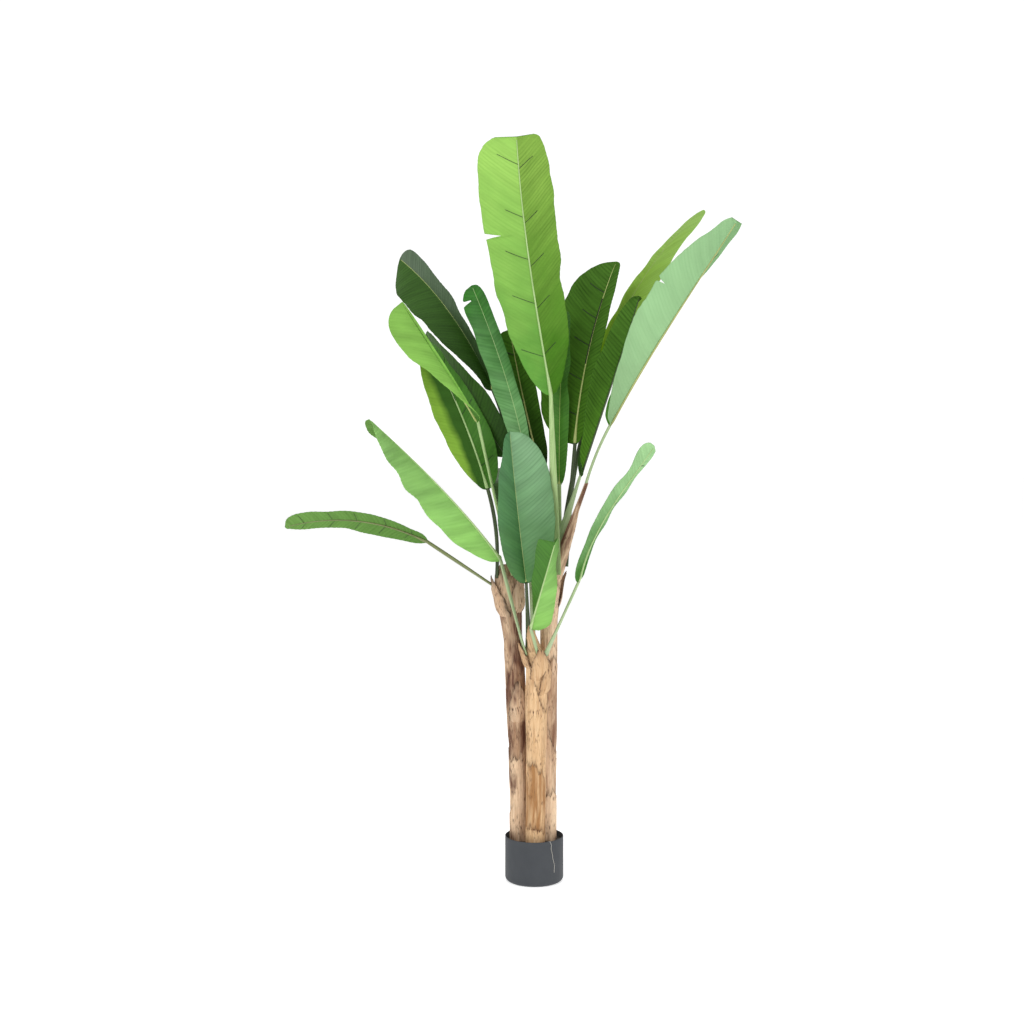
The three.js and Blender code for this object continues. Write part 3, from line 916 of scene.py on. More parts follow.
def grit_tree() -> Tree:
    """Makes the tree that scatters small lumps over the level parts of a surface.

    Returns:
        The tree. Density is lumps to a square metre, and Size is a lump's mean radius.
    """
    tree = Tree(
        "grit",
        {
            "Density": "NodeSocketFloat",
            "Size": "NodeSocketFloat",
            "Seed": "NodeSocketInt",
            "Material": "NodeSocketMaterial",
        },
    )
    surface = tree.given("Geometry")
    normal = tree.add("ShaderNodeSeparateXYZ", {"Vector": tree.add("GeometryNodeInputNormal").outputs[0]})
    level = tree.add("FunctionNodeCompare", {"A": normal.outputs["Z"], "B": 0.5}, operation="GREATER_THAN")
    spots = tree.add(
        "GeometryNodeDistributePointsOnFaces",
        {
            "Mesh": surface,
            "Selection": level.outputs[0],
            "Density": tree.given("Density"),
            "Seed": tree.given("Seed"),
        },
    )
    lump = tree.add("GeometryNodeMeshIcoSphere", {"Radius": tree.given("Size"), "Subdivisions": 1})
    turn = tree.add(
        "FunctionNodeRandomValue",
        {"Max": (math.pi, math.pi, math.pi), "Seed": tree.given("Seed")},
        data_type="FLOAT_VECTOR",
    )
    size = tree.add("FunctionNodeRandomValue", {"Seed": tree.given("Seed")}, data_type="FLOAT_VECTOR")
    size.inputs["Min"].default_value = (0.4, 0.4, 0.3)
    size.inputs["Max"].default_value = (1.4, 1.2, 0.8)
    copies = tree.add(
        "GeometryNodeInstanceOnPoints",
        {
            "Points": spots.outputs["Points"],
            "Instance": lump.outputs["Mesh"],
            "Rotation": turn.outputs["Value"],
            "Scale": size.outputs["Value"],
        },
    )
    both = tree.add("GeometryNodeJoinGeometry")
    tree.group.links.new(copies.outputs[0], both.inputs[0])
    tree.group.links.new(surface, both.inputs[0])
    tree.finish(both.outputs[0])
    return tree


def strands_object(
    name: str, chains: list[np.ndarray], radii: list[np.ndarray], tree: Tree, sides: int, finish: Enum
) -> bpy.types.Object:
    """Makes one piece of many strands.

    Args:
        name: the object's name.
        chains: the points of each strand, in millimetres.
        radii: the strand's radius at each of them, in millimetres.
        tree: the strand tree.
        sides: sides of each strand.
        finish: its finish.

    Returns:
        The piece, as a plain mesh.
    """
    edges = []
    start = 0
    for chain in chains:
        edges += [(i, i + 1) for i in range(start, start + len(chain) - 1)]
        start += len(chain)
    mesh = bpy.data.meshes.new(name)
    mesh.from_pydata((np.concatenate(chains) * MM).tolist(), edges, [])
    held = mesh.attributes.new(STRAND_RADIUS, "FLOAT", "POINT")
    held.data.foreach_set("value", (np.concatenate(radii) * MM).astype(np.float32))
    piece = bpy.data.objects.new(name, mesh)
    bpy.context.scene.collection.objects.link(piece)
    tree.run(piece, {"Sides": sides, "Material": material_of(finish)})
    piece.data.polygons.foreach_set("use_smooth", np.ones(len(piece.data.polygons), dtype=bool))
    return piece


# ---------------------------------------------------------------- stems


@dataclass(frozen=True)
class Sheath:
    """A torn leaf base that stands free of its stem as a tongue.

    Attributes:
        round: its middle's way round the stem, in degrees.
        spread: half its width at the foot, in degrees.
        start: the height of its foot.
        end: the height of its tip.
        flare: how far its tip stands off.
    """

    round: float
    spread: float
    start: float
    end: float
    flare: float


@dataclass(frozen=True)
class Wrap:
    """One wrapping, whose frayed upper end runs aslant and shows most on one side.

    Attributes:
        height: the mean height of its upper end.
        lean: how far that end rises and falls round the stem.
        round: the side where it is highest, in degrees.
        shows: the side where it shows most, in degrees.
        tone: how warm its colour is, from 0 to 1.
        lip: how far its end stands out.
    """

    height: float
    lean: float
    round: float
    shows: float
    tone: float = 0.0
    lip: float = 2.8


@dataclass(frozen=True)
class BrownPatch:
    """A brown patch. Most are weathered places; those on the left stem's side towards the front stem are
    also painted shade between the stems.

    Attributes:
        height: the height of its middle.
        round: its middle's way round the stem, in degrees.
        tall: half its height.
        wide: half its width, in degrees.
        dark: how strong it is.
    """

    height: float
    round: float
    tall: float
    wide: float
    dark: float = 1.0


@dataclass(frozen=True)
class Stem:
    """A stem wrapped in dried fibre.

    Attributes:
        name: the stem's name.
        rings: height, x, y and radius of each ring that it runs through, from the foot up.
        sheaths: its torn leaf bases.
        wraps: its wrappings, from the lowest up.
        brown_patches: its brown patches, some of them painted shade.
        fibre: what it is wrapped in.
        seed: chooses its patterns.
        browned: the heights between which it turns brown.
        waves: cells round the stem, a cell's height and the depth of each layer of its relief.
        fullness: how far the relief's mean stands out.
        fray: cells round the stem and height of the slow rise and fall of a wrapping's end.
        teeth: the same for its torn fibres.
        lip_fade: the height over which a wrapping's lip fades into the one above it.
        columns: points round the bark.
        row_height: height from one row of the bark to the next.
        tongue_grid: rows and columns of a torn leaf base.
        hairs: how many loose fibres it has.
        hair_steps: points along a loose fibre.
    """

    name: str
    rings: tuple[tuple[float, float, float, float], ...]
    sheaths: tuple[Sheath, ...]
    wraps: tuple[Wrap, ...]
    brown_patches: tuple[BrownPatch, ...]
    fibre: Fibre
    seed: int
    browned: Pair = (2000.0, 2100.0)
    waves: tuple[Triple, ...] = ((48, 110, 0.6), (96, 40, 0.36), (20, 220, 0.8), (6, 80, 0.9))
    fullness: float = 0.2
    fray: Pair = (20, 12)
    teeth: Pair = (72, 16)
    lip_fade: float = 90.0
    columns: int = 150
    row_height: float = 3.0
    tongue_grid: tuple[int, int] = (60, 25)
    hairs: int = 60
    hair_steps: int = 7

    def at(self, height: np.ndarray) -> tuple[np.ndarray, np.ndarray]:
        """Looks the stem up at some heights.

        Args:
            height: the heights.

        Returns:
            The stem's middle points and its radii there.
        """
        z, x, y, r = np.array(self.rings).T
        middle = np.stack([np.interp(height, z, x), np.interp(height, z, y), height], axis=-1)
        return middle, np.interp(height, z, r)

    def relief(self, angle: np.ndarray, height: np.ndarray) -> tuple[np.ndarray, np.ndarray, np.ndarray]:
        """Shapes the bark.

        Args:
            angle: way round the stem in radians.
            height: height in millimetres.

        Returns:
            How far the bark lies under the stem's outline, in millimetres, and two shares from 0 to 1:
            how near a wrapping's frayed end is, which the material paints as painted shade just above the
            lip and as the dark of the fray, and how warm the bark's tone is.
        """
        turn = angle / (2 * math.pi)
        depth = np.full_like(turn, -self.fullness)
        for layer, (cells, tall, deep) in enumerate(self.waves):
            depth = depth + deep * noise(turn * cells, height / tall, self.seed + layer, cells)
        edge = np.zeros_like(depth)
        tone = np.zeros_like(depth)
        slow, fine = self.fray[0], self.teeth[0]
        for index, wrap in reversed(list(enumerate(self.wraps))):
            rise = self.fray[1] * noise(turn * slow, height / 400, self.seed + 10 + index, slow)
            torn = np.abs(noise(turn * fine, height / 400, self.seed + 30 + index, fine)) ** 1.5
            aslant = wrap.lean * np.cos(angle - math.radians(wrap.round))
            line = wrap.height + aslant + rise + self.teeth[1] * torn
            shown = 0.15 + 0.85 * smooth(np.cos(angle - math.radians(wrap.shows)), -0.1, 0.7)
            above = height - line
            tone = np.where(above < 0, wrap.tone, tone)
            depth = depth + wrap.lip * shown * np.where(above > 0, np.exp(-above / self.lip_fade), 0)
            # Painted shade: the edge share is strongest just above each wrapping's lip, where the bark lies
            # deeper, and weak on the frayed end under it.
            near = np.where(above > 0, np.exp(-above / 7), 0.25 * np.exp(above / 3))
            edge = np.maximum(edge, 0.95 * shown * near)
        return depth, edge, tone

    def browning(self, angle: np.ndarray, height: np.ndarray) -> np.ndarray:
        """Finds how brown the bark is: its weathered places and its brown patches, some of which are
        painted shade.

        Args:
            angle: way round the stem in radians.
            height: height in millimetres.

        Returns:
            A share from 0 to 1.
        """
        patches = noise(angle / (2 * math.pi) * 16, height / 30, self.seed + 5, 16)
        brownness = smooth(height, *self.browned) * (0.6 + 0.4 * patches)
        for brown_patch in self.brown_patches:
            away = np.degrees(np.arccos(np.cos(angle - math.radians(brown_patch.round)))) / brown_patch.wide
            far = away**2 + ((height - brown_patch.height) / brown_patch.tall) ** 2
            brownness = np.maximum(brownness, brown_patch.dark * np.exp(-far) * (0.8 + 0.4 * patches))
        return np.clip(brownness, 0, 1)

    def bark(self) -> bpy.types.Object:
        """Makes the stem's barked tube.

        Returns:
            The tube. Its map's seam is at the back.
        """
        low, high = self.rings[0][0], self.rings[-1][0]
        rows = int((high - low) / self.row_height) + 1
        height = np.linspace(low, high, rows)[:, None]
        turn = math.pi / 2 + np.linspace(0, 2 * math.pi, self.columns + 1)[None, :]
        layout = np.stack(np.broadcast_arrays(turn * MAP_RADIUS * MM, height * MM), axis=-1)
        height, angle = np.broadcast_arrays(height, turn[:, :-1])
        middle, radius = self.at(height)
        depth, edge, tone = self.relief(angle, height)
        radius = radius - np.minimum(depth, radius * 0.35)
        numbers = {"edge": np.clip(edge, 0, 1), "brownness": self.browning(angle, height), "tone": tone}
        rings = middle + around(angle) * radius[..., None]
        plain = np.zeros(rows, dtype=int)
        return tube_object(f"bark_{self.name}", rings, layout, numbers, [material_of(self.fibre)], plain)

    def tongue(self, index: int, sheath: Sheath) -> bpy.types.Object:
        """Makes one torn leaf base, with a ragged edge and a curled tip.

        Args:
            index: its number among the stem's torn leaf bases, from 0.
            sheath: its sizes.

        Returns:
            The tongue.
        """
        rows, columns = self.tongue_grid
        share = np.linspace(0, 1, rows)[:, None]
        across = np.linspace(-1, 1, columns)[None, :]
        share, across = np.broadcast_arrays(share, across)
        seed = self.seed + 50 + index
        ragged = 1 + 0.10 * noise(share * 14, across * 0, seed) * np.sign(across)
        length = 1 - 0.10 * (0.5 + 0.5 * noise(across * 5 + 8, across * 0, seed + 1)) - 0.12 * across**2
        height = between(sheath.start, sheath.end, share * length)
        middle, radius = self.at(height)
        outer = self.at(np.array([sheath.start, (sheath.start + sheath.end) / 2]))[1].max()
        free = radius + 1 + (np.maximum(outer, radius) + 4 - radius) * smooth(share, 0, 0.4)
        tucked = 6 * (1 - smooth(share, 0, 0.25))
        far = free - tucked + sheath.flare * share**2 + 0.8 * noise(across * 6, share * 5, seed + 2)
        half = math.radians(sheath.spread) * (1 - 0.72 * share**2) * ragged
        angle = math.radians(sheath.round) + half * across
        out = around(angle)
        points = middle + out * far[..., None]
        layout = np.stack([angle * MAP_RADIUS, height], axis=-1) * MM
        border = np.maximum(np.abs(across) ** 5, share**8)
        numbers = {"edge": 0.95 * border, "brownness": 0.15 + 0.3 * share**2, "tone": 0.2 - 0.2 * share}
        thick = 1.2 + 1.4 * (1 - border)
        pick = np.zeros((3, columns), dtype=int)
        name = f"torn_base_{self.name}_{index + 1}"
        return sheet_object(name, points, out, thick, layout, numbers, [material_of(self.fibre)], pick)

    def loose_hairs(self, tree: Tree) -> bpy.types.Object:
        """Makes the loose fibres that stand off the wrapping.

        Args:
            tree: the strand tree.

        Returns:
            One piece of them all.
        """
        pick = np.random.default_rng(self.seed + 90)
        chains, radii = [], []
        for _ in range(self.hairs):
            start = pick.uniform(130, self.rings[-2][0])
            length = pick.uniform(25, 90)
            height = np.linspace(start, start + length, self.hair_steps)
            height = np.minimum(height, self.rings[-1][0] - 2)
            side = pick.uniform(0, 2 * math.pi)
            angle = side + np.linspace(0, pick.uniform(-0.35, 0.35), self.hair_steps)
            middle, radius = self.at(height)
            lift = pick.uniform(0.5, 4.0) * np.linspace(0, 1, self.hair_steps) ** 2
            chains.append(middle + around(angle) * (radius - 0.8 + lift)[:, None])
            radii.append(np.linspace(0.35, 0.15, self.hair_steps))
        return strands_object(f"loose_fibres_{self.name}", chains, radii, tree, 3, Plain.HAIR)

    def build(self, tree: Tree) -> None:
        """Builds the stem and sets it down in place of its node.

        Args:
            tree: the strand tree.
        """
        set_down(self.bark(), "stem", f"stem_{self.name}")
        for index, sheath in enumerate(self.sheaths):
            set_down(self.tongue(index, sheath), "stem")
        set_down(self.loose_hairs(tree), "stem")


# ---------------------------------------------------------------- leaves


@dataclass(frozen=True)
class Tear:
    """A tear in one edge of a blade.

    Attributes:
        side: the half that it is in, 1 or -1.
        at: its share of the blade's length.
        depth: how far it reaches in from the edge.
        gap: how wide it is at the edge.
    """

    side: int
    at: float
    depth: float
    gap: float


@dataclass(frozen=True)
class Dress:
    """What a leaf is made of.

    Attributes:
        slot: the slot of its pieces.
        upper: the cloth of its upper face.
        under: the cloth of its under face.
        upper_other: the upper cloth of its second half, where it differs.
        under_other: the under cloth of its second half, where it differs.
        rib: the skin of its rib.
        stalk: the skin of its stalk.
        flipped: whether its upper face looks away from the rule's face.
        rib_wire: the shares of the blade between which a wire lies on the rib.
        wires: the halves that have short wires out from the rib.
    """

    slot: str
    upper: Cloth
    under: Cloth
    upper_other: Cloth | None = None
    under_other: Cloth | None = None
    rib: Skin = Skin.PALE
    stalk: Skin = Skin.PALE
    flipped: bool = False
    rib_wire: Pair | None = None
    wires: tuple[int, ...] = ()


@dataclass(frozen=True)
class Walk:
    """Stations along a leaf's middle line.

    Attributes:
        share: how far along each station is, from 0 to 1.
        point: its place.
        along: the line's direction there.
        side: the direction of the leaf's first half.
        face: the direction out of the rule's face.
    """

    share: np.ndarray
    point: np.ndarray
    along: np.ndarray
    side: np.ndarray
    face: np.ndarray

    def spread(self, share: np.ndarray) -> Walk:
        """The stations as rows that take a grid of shares."""
        return Walk(share, *(value[:, None, :] for value in (self.point, self.along, self.side, self.face)))

    def between_stations(self, share: np.ndarray) -> Walk:
        """Stations at some other shares.

        Args:
            share: the shares.

        Returns:
            A station for each.
        """
        mixed = []
        for value in (self.point, self.along, self.side, self.face):
            mixed.append(np.stack([np.interp(share, self.share, column) for column in value.T], axis=-1))
        return Walk(share, *mixed)


@dataclass(frozen=True)
class Leaf:
    """One leaf, with its stalk.

    Attributes:
        name: the leaf's name.
        stem: the name of its stem.
        height: the height at which its stalk leaves the stem.
        round: the side of the stem that it leaves, in degrees.
        stalk: the stalk's length.
        blade: the blade's length.
        halves: how far the blade's two halves reach from the rib.
        turn: the heading at the foot, the collar and the tip, in degrees.
        lift: the slope at the same places.
        roll: the twist at the same places.
        fold: how far the halves lift towards each other at the collar and the tip, in degrees.
        shoulder: the share of the length over which the blade widens.
        nose: the share over which it narrows to its tip.
        dress: what it is made of.
        base: the stalk's width at its foot.
        on_tip: whether the stalk stands on the stem's tip.
        other_shoulder: the second half's shoulder, where it differs.
        tears: its tears.
        straight: whether the stalk keeps its heading and slope.
        blunt: how blunt the nose is.
        seed: chooses its patterns.
        ripple: how far the edges ripple.
        pleat: how deep the pleats between the veins are.
        pleat_length: length from one pleat to the next.
        arch: how far each half swells, as a share of its width.
        uneven: how far the edge strays, as a share of the width, and the length of a stray.
        cloth: the blade's thickness.
        collar_width: the stalk's width where the blade starts.
        stalk_thick: the stalk's depth.
        tip_width: the least width of the tip.
        row_length: length from one row of the blade to the next.
        half_columns: points across each half.
        wire_every: mean length from one wire to the next.
        wire_lengths: shortest and longest wire.
        wire_radius: a wire's radius.
        vein_bend: how fast a wire turns to the tip.
        rib_depths: half the rib's depth at the collar and the tip.
        rib_tip: half the rib's width at the tip.
        rib_proud: how far the rib stands out of the upper face.
    """

    name: str
    stem: str
    height: float
    round: float
    stalk: float
    blade: float
    halves: Pair
    turn: Triple
    lift: Triple
    roll: Triple
    fold: Pair
    shoulder: float
    nose: float
    dress: Dress
    base: float = 15.0
    on_tip: bool = False
    other_shoulder: float | None = None
    tears: tuple[Tear, ...] = ()
    straight: bool = False
    blunt: float = 2.5
    seed: int = 0
    ripple: float = 5.0
    pleat: float = 0.4
    pleat_length: float = 13.0
    arch: float = 0.05
    uneven: Pair = (0.06, 60.0)
    cloth: float = 1.8
    collar_width: float = 11.0
    stalk_thick: float = 8.0
    tip_width: float = 5.0
    row_length: float = 4.0
    half_columns: int = 20
    wire_every: float = 135.0
    wire_lengths: Pair = (48.0, 62.0)
    wire_radius: float = 0.75
    vein_bend: float = 0.0016
    rib_depths: Pair = (3.6, 1.5)
    rib_tip: float = 1.1
    rib_proud: float = 0.35

    def walk(self, start: np.ndarray, length: float, steps: int, leg: int) -> Walk:
        """Walks along the stalk (leg 0) or the blade (leg 1).

        Args:
            start: where the walk starts.
            length: its length.
            steps: how many even steps it has.
            leg: 0 from foot to collar, 1 from collar to tip.

        Returns:
            The stations, one more than the steps.
        """

        def frame_at(share: np.ndarray) -> tuple[np.ndarray, np.ndarray, np.ndarray]:
            """Finds the leaf's directions.

            Args:
                share: shares of the walk.

            Returns:
                The directions along it, to the side and out of the face.
            """
            end = leg if self.straight and leg == 0 else leg + 1
            turn = np.radians(between(self.turn[leg], self.turn[end], share))
            lift = np.radians(between(self.lift[leg], self.lift[end], share))
            roll = np.radians(between(self.roll[leg], self.roll[leg + 1], share))[:, None]
            level = np.cos(lift)
            along = np.stack([level * np.cos(turn), level * np.sin(turn), np.sin(lift)], axis=-1)
            side = np.stack([-np.sin(turn), np.cos(turn), np.zeros_like(turn)], axis=-1)
            face = np.cross(along, side)
            turned = side * np.cos(roll) + face * np.sin(roll)
            return along, turned, face * np.cos(roll) - side * np.sin(roll)

        share = np.linspace(0, 1, steps + 1)
        strides = frame_at((share[1:] + share[:-1]) / 2)[0] * (length / steps)
        point = start + np.concatenate([np.zeros((1, 3)), np.cumsum(strides, axis=0)])
        along, side, face = frame_at(share)
        return Walk(share, point, along, side, face)

    def half_width(self, share: np.ndarray, side: int) -> np.ndarray:
        """Finds how far the blade reaches from its rib, before any tear.

        Args:
            share: shares of the blade's length.
            side: the half, 1 or -1.

        Returns:
            The half's width at each share.
        """
        full = (side < 0 and self.other_shoulder) or self.shoulder
        shoulder = np.sqrt(1 - (1 - np.minimum(1, share / full)) ** 2)
        past = np.maximum(0, (share - 1 + self.nose) / self.nose)
        nose = np.maximum(0, 1 - past**self.blunt) ** (1 / self.blunt)
        narrowest = between(self.collar_width, self.tip_width, share) / 2
        return np.maximum(narrowest, self.halves[0 if side > 0 else 1] * shoulder * nose)

    def torn_width(self, share: np.ndarray, side: int) -> np.ndarray:
        """Finds the same with the half's tears and its slightly uneven edge.

        Args:
            share: shares of the blade's length.
            side: the half, 1 or -1.

        Returns:
            The half's width at each share.
        """
        seed = self.seed + (7 if side > 0 else 11)
        along = share * self.blade
        width = self.half_width(share, side)
        swing, length = self.uneven
        uneven = swing * noise(along / length, along * 0, seed)
        uneven = uneven + 0.008 * noise(along / 12, along * 0, seed + 1)
        tipward = 0.03 * noise(along / 7, along * 0, seed + 2) * smooth(share, 0.86, 1.0)
        width = width * (1 + uneven - np.abs(tipward) - 0.008)
        for tear in self.tears:
            if tear.side == side:
                reach = float(self.half_width(np.array(tear.at), side))
                away = np.abs(along - tear.at * self.blade)
                width = np.minimum(width, reach - tear.depth + 2 * tear.depth * away / tear.gap)
        return width

    def foot(self, stem: Stem) -> np.ndarray:
        """Finds where the stalk starts.

        Args:
            stem: its stem.

        Returns:
            The stalk's first point.
        """
        middle, radius = stem.at(np.array(self.height))
        if self.on_tip:
            return middle + np.array([0, 0, 0.3])
        angle = math.radians(self.round)
        return middle + (radius + 1.5) * np.array([math.cos(angle), math.sin(angle), 0])

    def fold_at(self, share: np.ndarray) -> np.ndarray:
        """How far both halves lift towards each other, in radians. The fold grows with the width."""
        widest = np.maximum(self.half_width(share, 1), self.half_width(share, -1))
        return np.radians(between(*self.fold, share)) * smooth(widest, 8, 34)

    def lifted(
        self, at: Walk, out: np.ndarray, reach: np.ndarray, width: np.ndarray
    ) -> tuple[np.ndarray, np.ndarray]:
        """Points of the blade's middle sheet.

        Args:
            at: the stations that the points belong to.
            out: side of the rib, 1 or -1, or 0 on it.
            reach: distance from the rib.
            width: half width of the blade there.

        Returns:
            The points, and the normals of the sheet without its ripples.
        """
        fold = self.fold_at(at.share)
        side = at.side * (out * np.cos(fold))[..., None] + at.face * (np.abs(out) * np.sin(fold))[..., None]
        normal = at.face * np.cos(fold)[..., None] - at.side * (out * np.sin(fold))[..., None]
        normal = normal / np.linalg.norm(normal, axis=-1, keepdims=True)
        across = reach / np.maximum(width, 1e-6)
        level = at.share * self.blade - VEIN_SLANT * reach
        near = smooth(reach, 0, 25)
        swell = self.arch * width * np.sin(math.pi * across)
        wave = self.ripple * near * across**1.5 * noise(level / 55, out * 3.0, self.seed + 3)
        sway = 2 * noise(level / 60, out * 5.0, self.seed + 4)
        pleat = self.pleat * near * np.sin(2 * math.pi * level / self.pleat_length + sway)
        points = at.point + side * reach[..., None] + normal * (swell + wave + pleat)[..., None]
        return points, normal

    def surface(self, blade: Walk, across: np.ndarray) -> tuple[np.ndarray, np.ndarray, np.ndarray]:
        """The blade's middle sheet as a grid.

        Args:
            blade: the blade's stations.
            across: shares of the half width, from -1 to 1, one for each column.

        Returns:
            Points, unit normals and the map in metres.
        """
        share, across = np.broadcast_arrays(blade.share[:, None], across[None, :])
        width = np.where(across > 0, self.torn_width(share, 1), self.torn_width(share, -1))
        out = np.sign(across)
        reach = np.abs(across) * width
        points, _ = self.lifted(blade.spread(share), out, reach, width)
        layout = np.stack([out * reach, share * self.blade], axis=-1) * MM
        return points, self.normals_of(points), layout

    @staticmethod
    def normals_of(points: np.ndarray) -> np.ndarray:
        """Finds the unit normals of a sheet.

        Args:
            points: a grid of points on it.

        Returns:
            The normal at each point.
        """
        down = np.gradient(points, axis=0)
        over = np.gradient(points, axis=1)
        normal = np.cross(down, over)
        length = np.linalg.norm(normal, axis=-1, keepdims=True)
        return normal / np.maximum(length, 1e-9)

    def blade_piece(self, blade: Walk) -> bpy.types.Object:
        """Makes the blade, with its cloths.

        Args:
            blade: the blade's stations.

        Returns:
            The blade.
        """
        half = 1 - (1 - np.linspace(0, 1, self.half_columns)) ** 1.25
        across = np.concatenate([-half[:0:-1], half])
        points, normal, layout = self.surface(blade, across)
        border = np.abs(across)[None, :] ** 8
        ends = smooth(blade.share, 0.0, 0.01)[:, None]
        thick = self.cloth * (1 - 0.55 * border) * (0.4 + 0.6 * ends)
        share = np.broadcast_to(blade.share[:, None], thick.shape)
        cloths = [self.dress.upper, self.dress.under]
        others = [self.dress.upper_other or cloths[0], self.dress.under_other or cloths[1]]
        if self.dress.flipped:
            cloths.reverse()
            others.reverse()
        other = np.append(np.where(across[:-1] + across[1:] > 0, 0, len(cloths)), 0)
        pick = np.stack([other, other + 1, other])
        finishes = [material_of(cloth) for cloth in (*cloths, *others)]
        name = f"blade_{self.name}"
        return sheet_object(name, points, normal, thick, layout, {"share": share}, finishes, pick)

    def rib_deep(self, share: np.ndarray) -> np.ndarray:
        """Half the rib's depth along the blade."""
        return between(*self.rib_depths, share**0.7)

    def stalk_piece(self, stalk: Walk, blade: Walk) -> bpy.types.Object:
        """Makes the stalk and the rib that it becomes behind the blade, as one tapering tube.

        Args:
            stalk: the stalk's stations.
            blade: the blade's stations.

        Returns:
            The tube.
        """
        sides = 14
        angle = np.linspace(0, 2 * math.pi, sides + 1)
        inner = slice(1, -2)
        stalk_half = between(self.base, self.collar_width, stalk.share) / 2
        narrowed = 0.55 * smooth(blade.share, 0, 0.12) + 0.45 * blade.share
        rib_half = between(self.collar_width / 2, self.rib_tip, narrowed)
        deep = self.rib_deep(blade.share)
        sunk = self.under * (deep - self.cloth / 2 - self.rib_proud) * smooth(blade.share, 0.0, 0.03)
        rib_point = blade.point + blade.face * sunk[:, None]
        point = np.concatenate([stalk.point, rib_point[inner]])
        side = np.concatenate([stalk.side, blade.side[inner]])
        face = np.concatenate([stalk.face, blade.face[inner]])
        half = np.concatenate([stalk_half, rib_half[inner]])[:, None]
        deep = np.concatenate([np.full_like(stalk_half, self.stalk_thick / 2), deep[inner]])[:, None]
        turn = angle[None, :-1]
        ring = point[:, None, :] + side[:, None, :] * (half * np.cos(turn))[..., None]
        ring = ring + face[:, None, :] * (deep * np.sin(turn))[..., None]
        run = np.concatenate([stalk.share * self.stalk, self.stalk + blade.share[inner] * self.blade])
        layout = np.stack(np.broadcast_arrays(angle[None, :] * half, run[:, None]), axis=-1) * MM
        share = np.broadcast_to(run[:, None] / run[-1], ring.shape[:2])
        row = (np.arange(len(run)) >= len(stalk.share)).astype(int)
        finishes = [material_of(self.dress.stalk), material_of(self.dress.rib)]
        return tube_object(f"stalk_{self.name}", ring, layout, {"share": share}, finishes, row)

    @property
    def under(self) -> float:
        """-1 where the under face looks away from the rule's face, and 1 on a flipped leaf."""
        return 1.0 if self.dress.flipped else -1.0

    def on_face(
        self, blade: Walk, share: np.ndarray, side: int, reach: np.ndarray, lift: np.ndarray
    ) -> np.ndarray:
        """Points over the blade's under face.

        Args:
            blade: the blade's stations.
            share: shares of the blade's length.
            side: side of the rib, or 0 on it.
            reach: distances from the rib.
            lift: how far the points stand off the middle sheet.

        Returns:
            The points.
        """
        width = self.torn_width(share, side or 1)
        points, normal = self.lifted(blade.between_stations(share), np.full_like(share, side), reach, width)
        return points + normal * (self.under * lift)[:, None]

    def wire_piece(self, blade: Walk, tree: Tree) -> bpy.types.Object:
        """Makes the short wires that stiffen the blade's under face, out from the rib.

        Args:
            blade: the blade's stations.
            tree: the strand tree.

        Returns:
            One piece of them all.
        """
        pick = np.random.default_rng(self.seed + 70)
        chains, radii = [], []
        for side in self.dress.wires:
            start = self.wire_every * pick.uniform(0.5, 0.9)
            while start < self.blade * 0.93:
                room = float(self.torn_width(np.array(start / self.blade), side)) - 8
                length = min(pick.uniform(*self.wire_lengths), room)
                if length > 14:
                    reach = np.linspace(0.0, length, 17)
                    share = (start + VEIN_SLANT * reach + self.vein_bend * reach**2) / self.blade
                    lift = np.full_like(reach, self.cloth / 2 + 0.4)
                    chains.append(self.on_face(blade, share, side, reach, lift))
                    radii.append(np.full_like(reach, self.wire_radius))
                start += self.wire_every * pick.uniform(0.85, 1.15)
        if self.dress.rib_wire:
            share = np.linspace(*self.dress.rib_wire, 40)
            lift = 2 * self.rib_deep(share) - self.cloth / 2 - self.rib_proud
            chains.append(self.on_face(blade, share, 0, share * 0, lift))
            radii.append(np.full_like(share, 1.4 * self.wire_radius))
        return strands_object(f"wires_{self.name}", chains, radii, tree, 5, Plain.WIRE)

    def build(self, stems: dict[str, Stem], tree: Tree) -> None:
        """Builds the leaf and sets it down in place of its node.

        Args:
            stems: the stems by name.
            tree: the strand tree.
        """
        stalk = self.walk(self.foot(stems[self.stem]), self.stalk, max(int(self.stalk / 8), 8), 0)
        blade = self.walk(stalk.point[-1], self.blade, int(self.blade / self.row_length), 1)
        set_down(self.blade_piece(blade), self.dress.slot, f"leaf_{self.name}")
        set_down(self.stalk_piece(stalk, blade), self.dress.slot)
        if self.dress.wires or self.dress.rib_wire:
            set_down(self.wire_piece(blade, tree), self.dress.slot)


# ---------------------------------------------------------------- pot


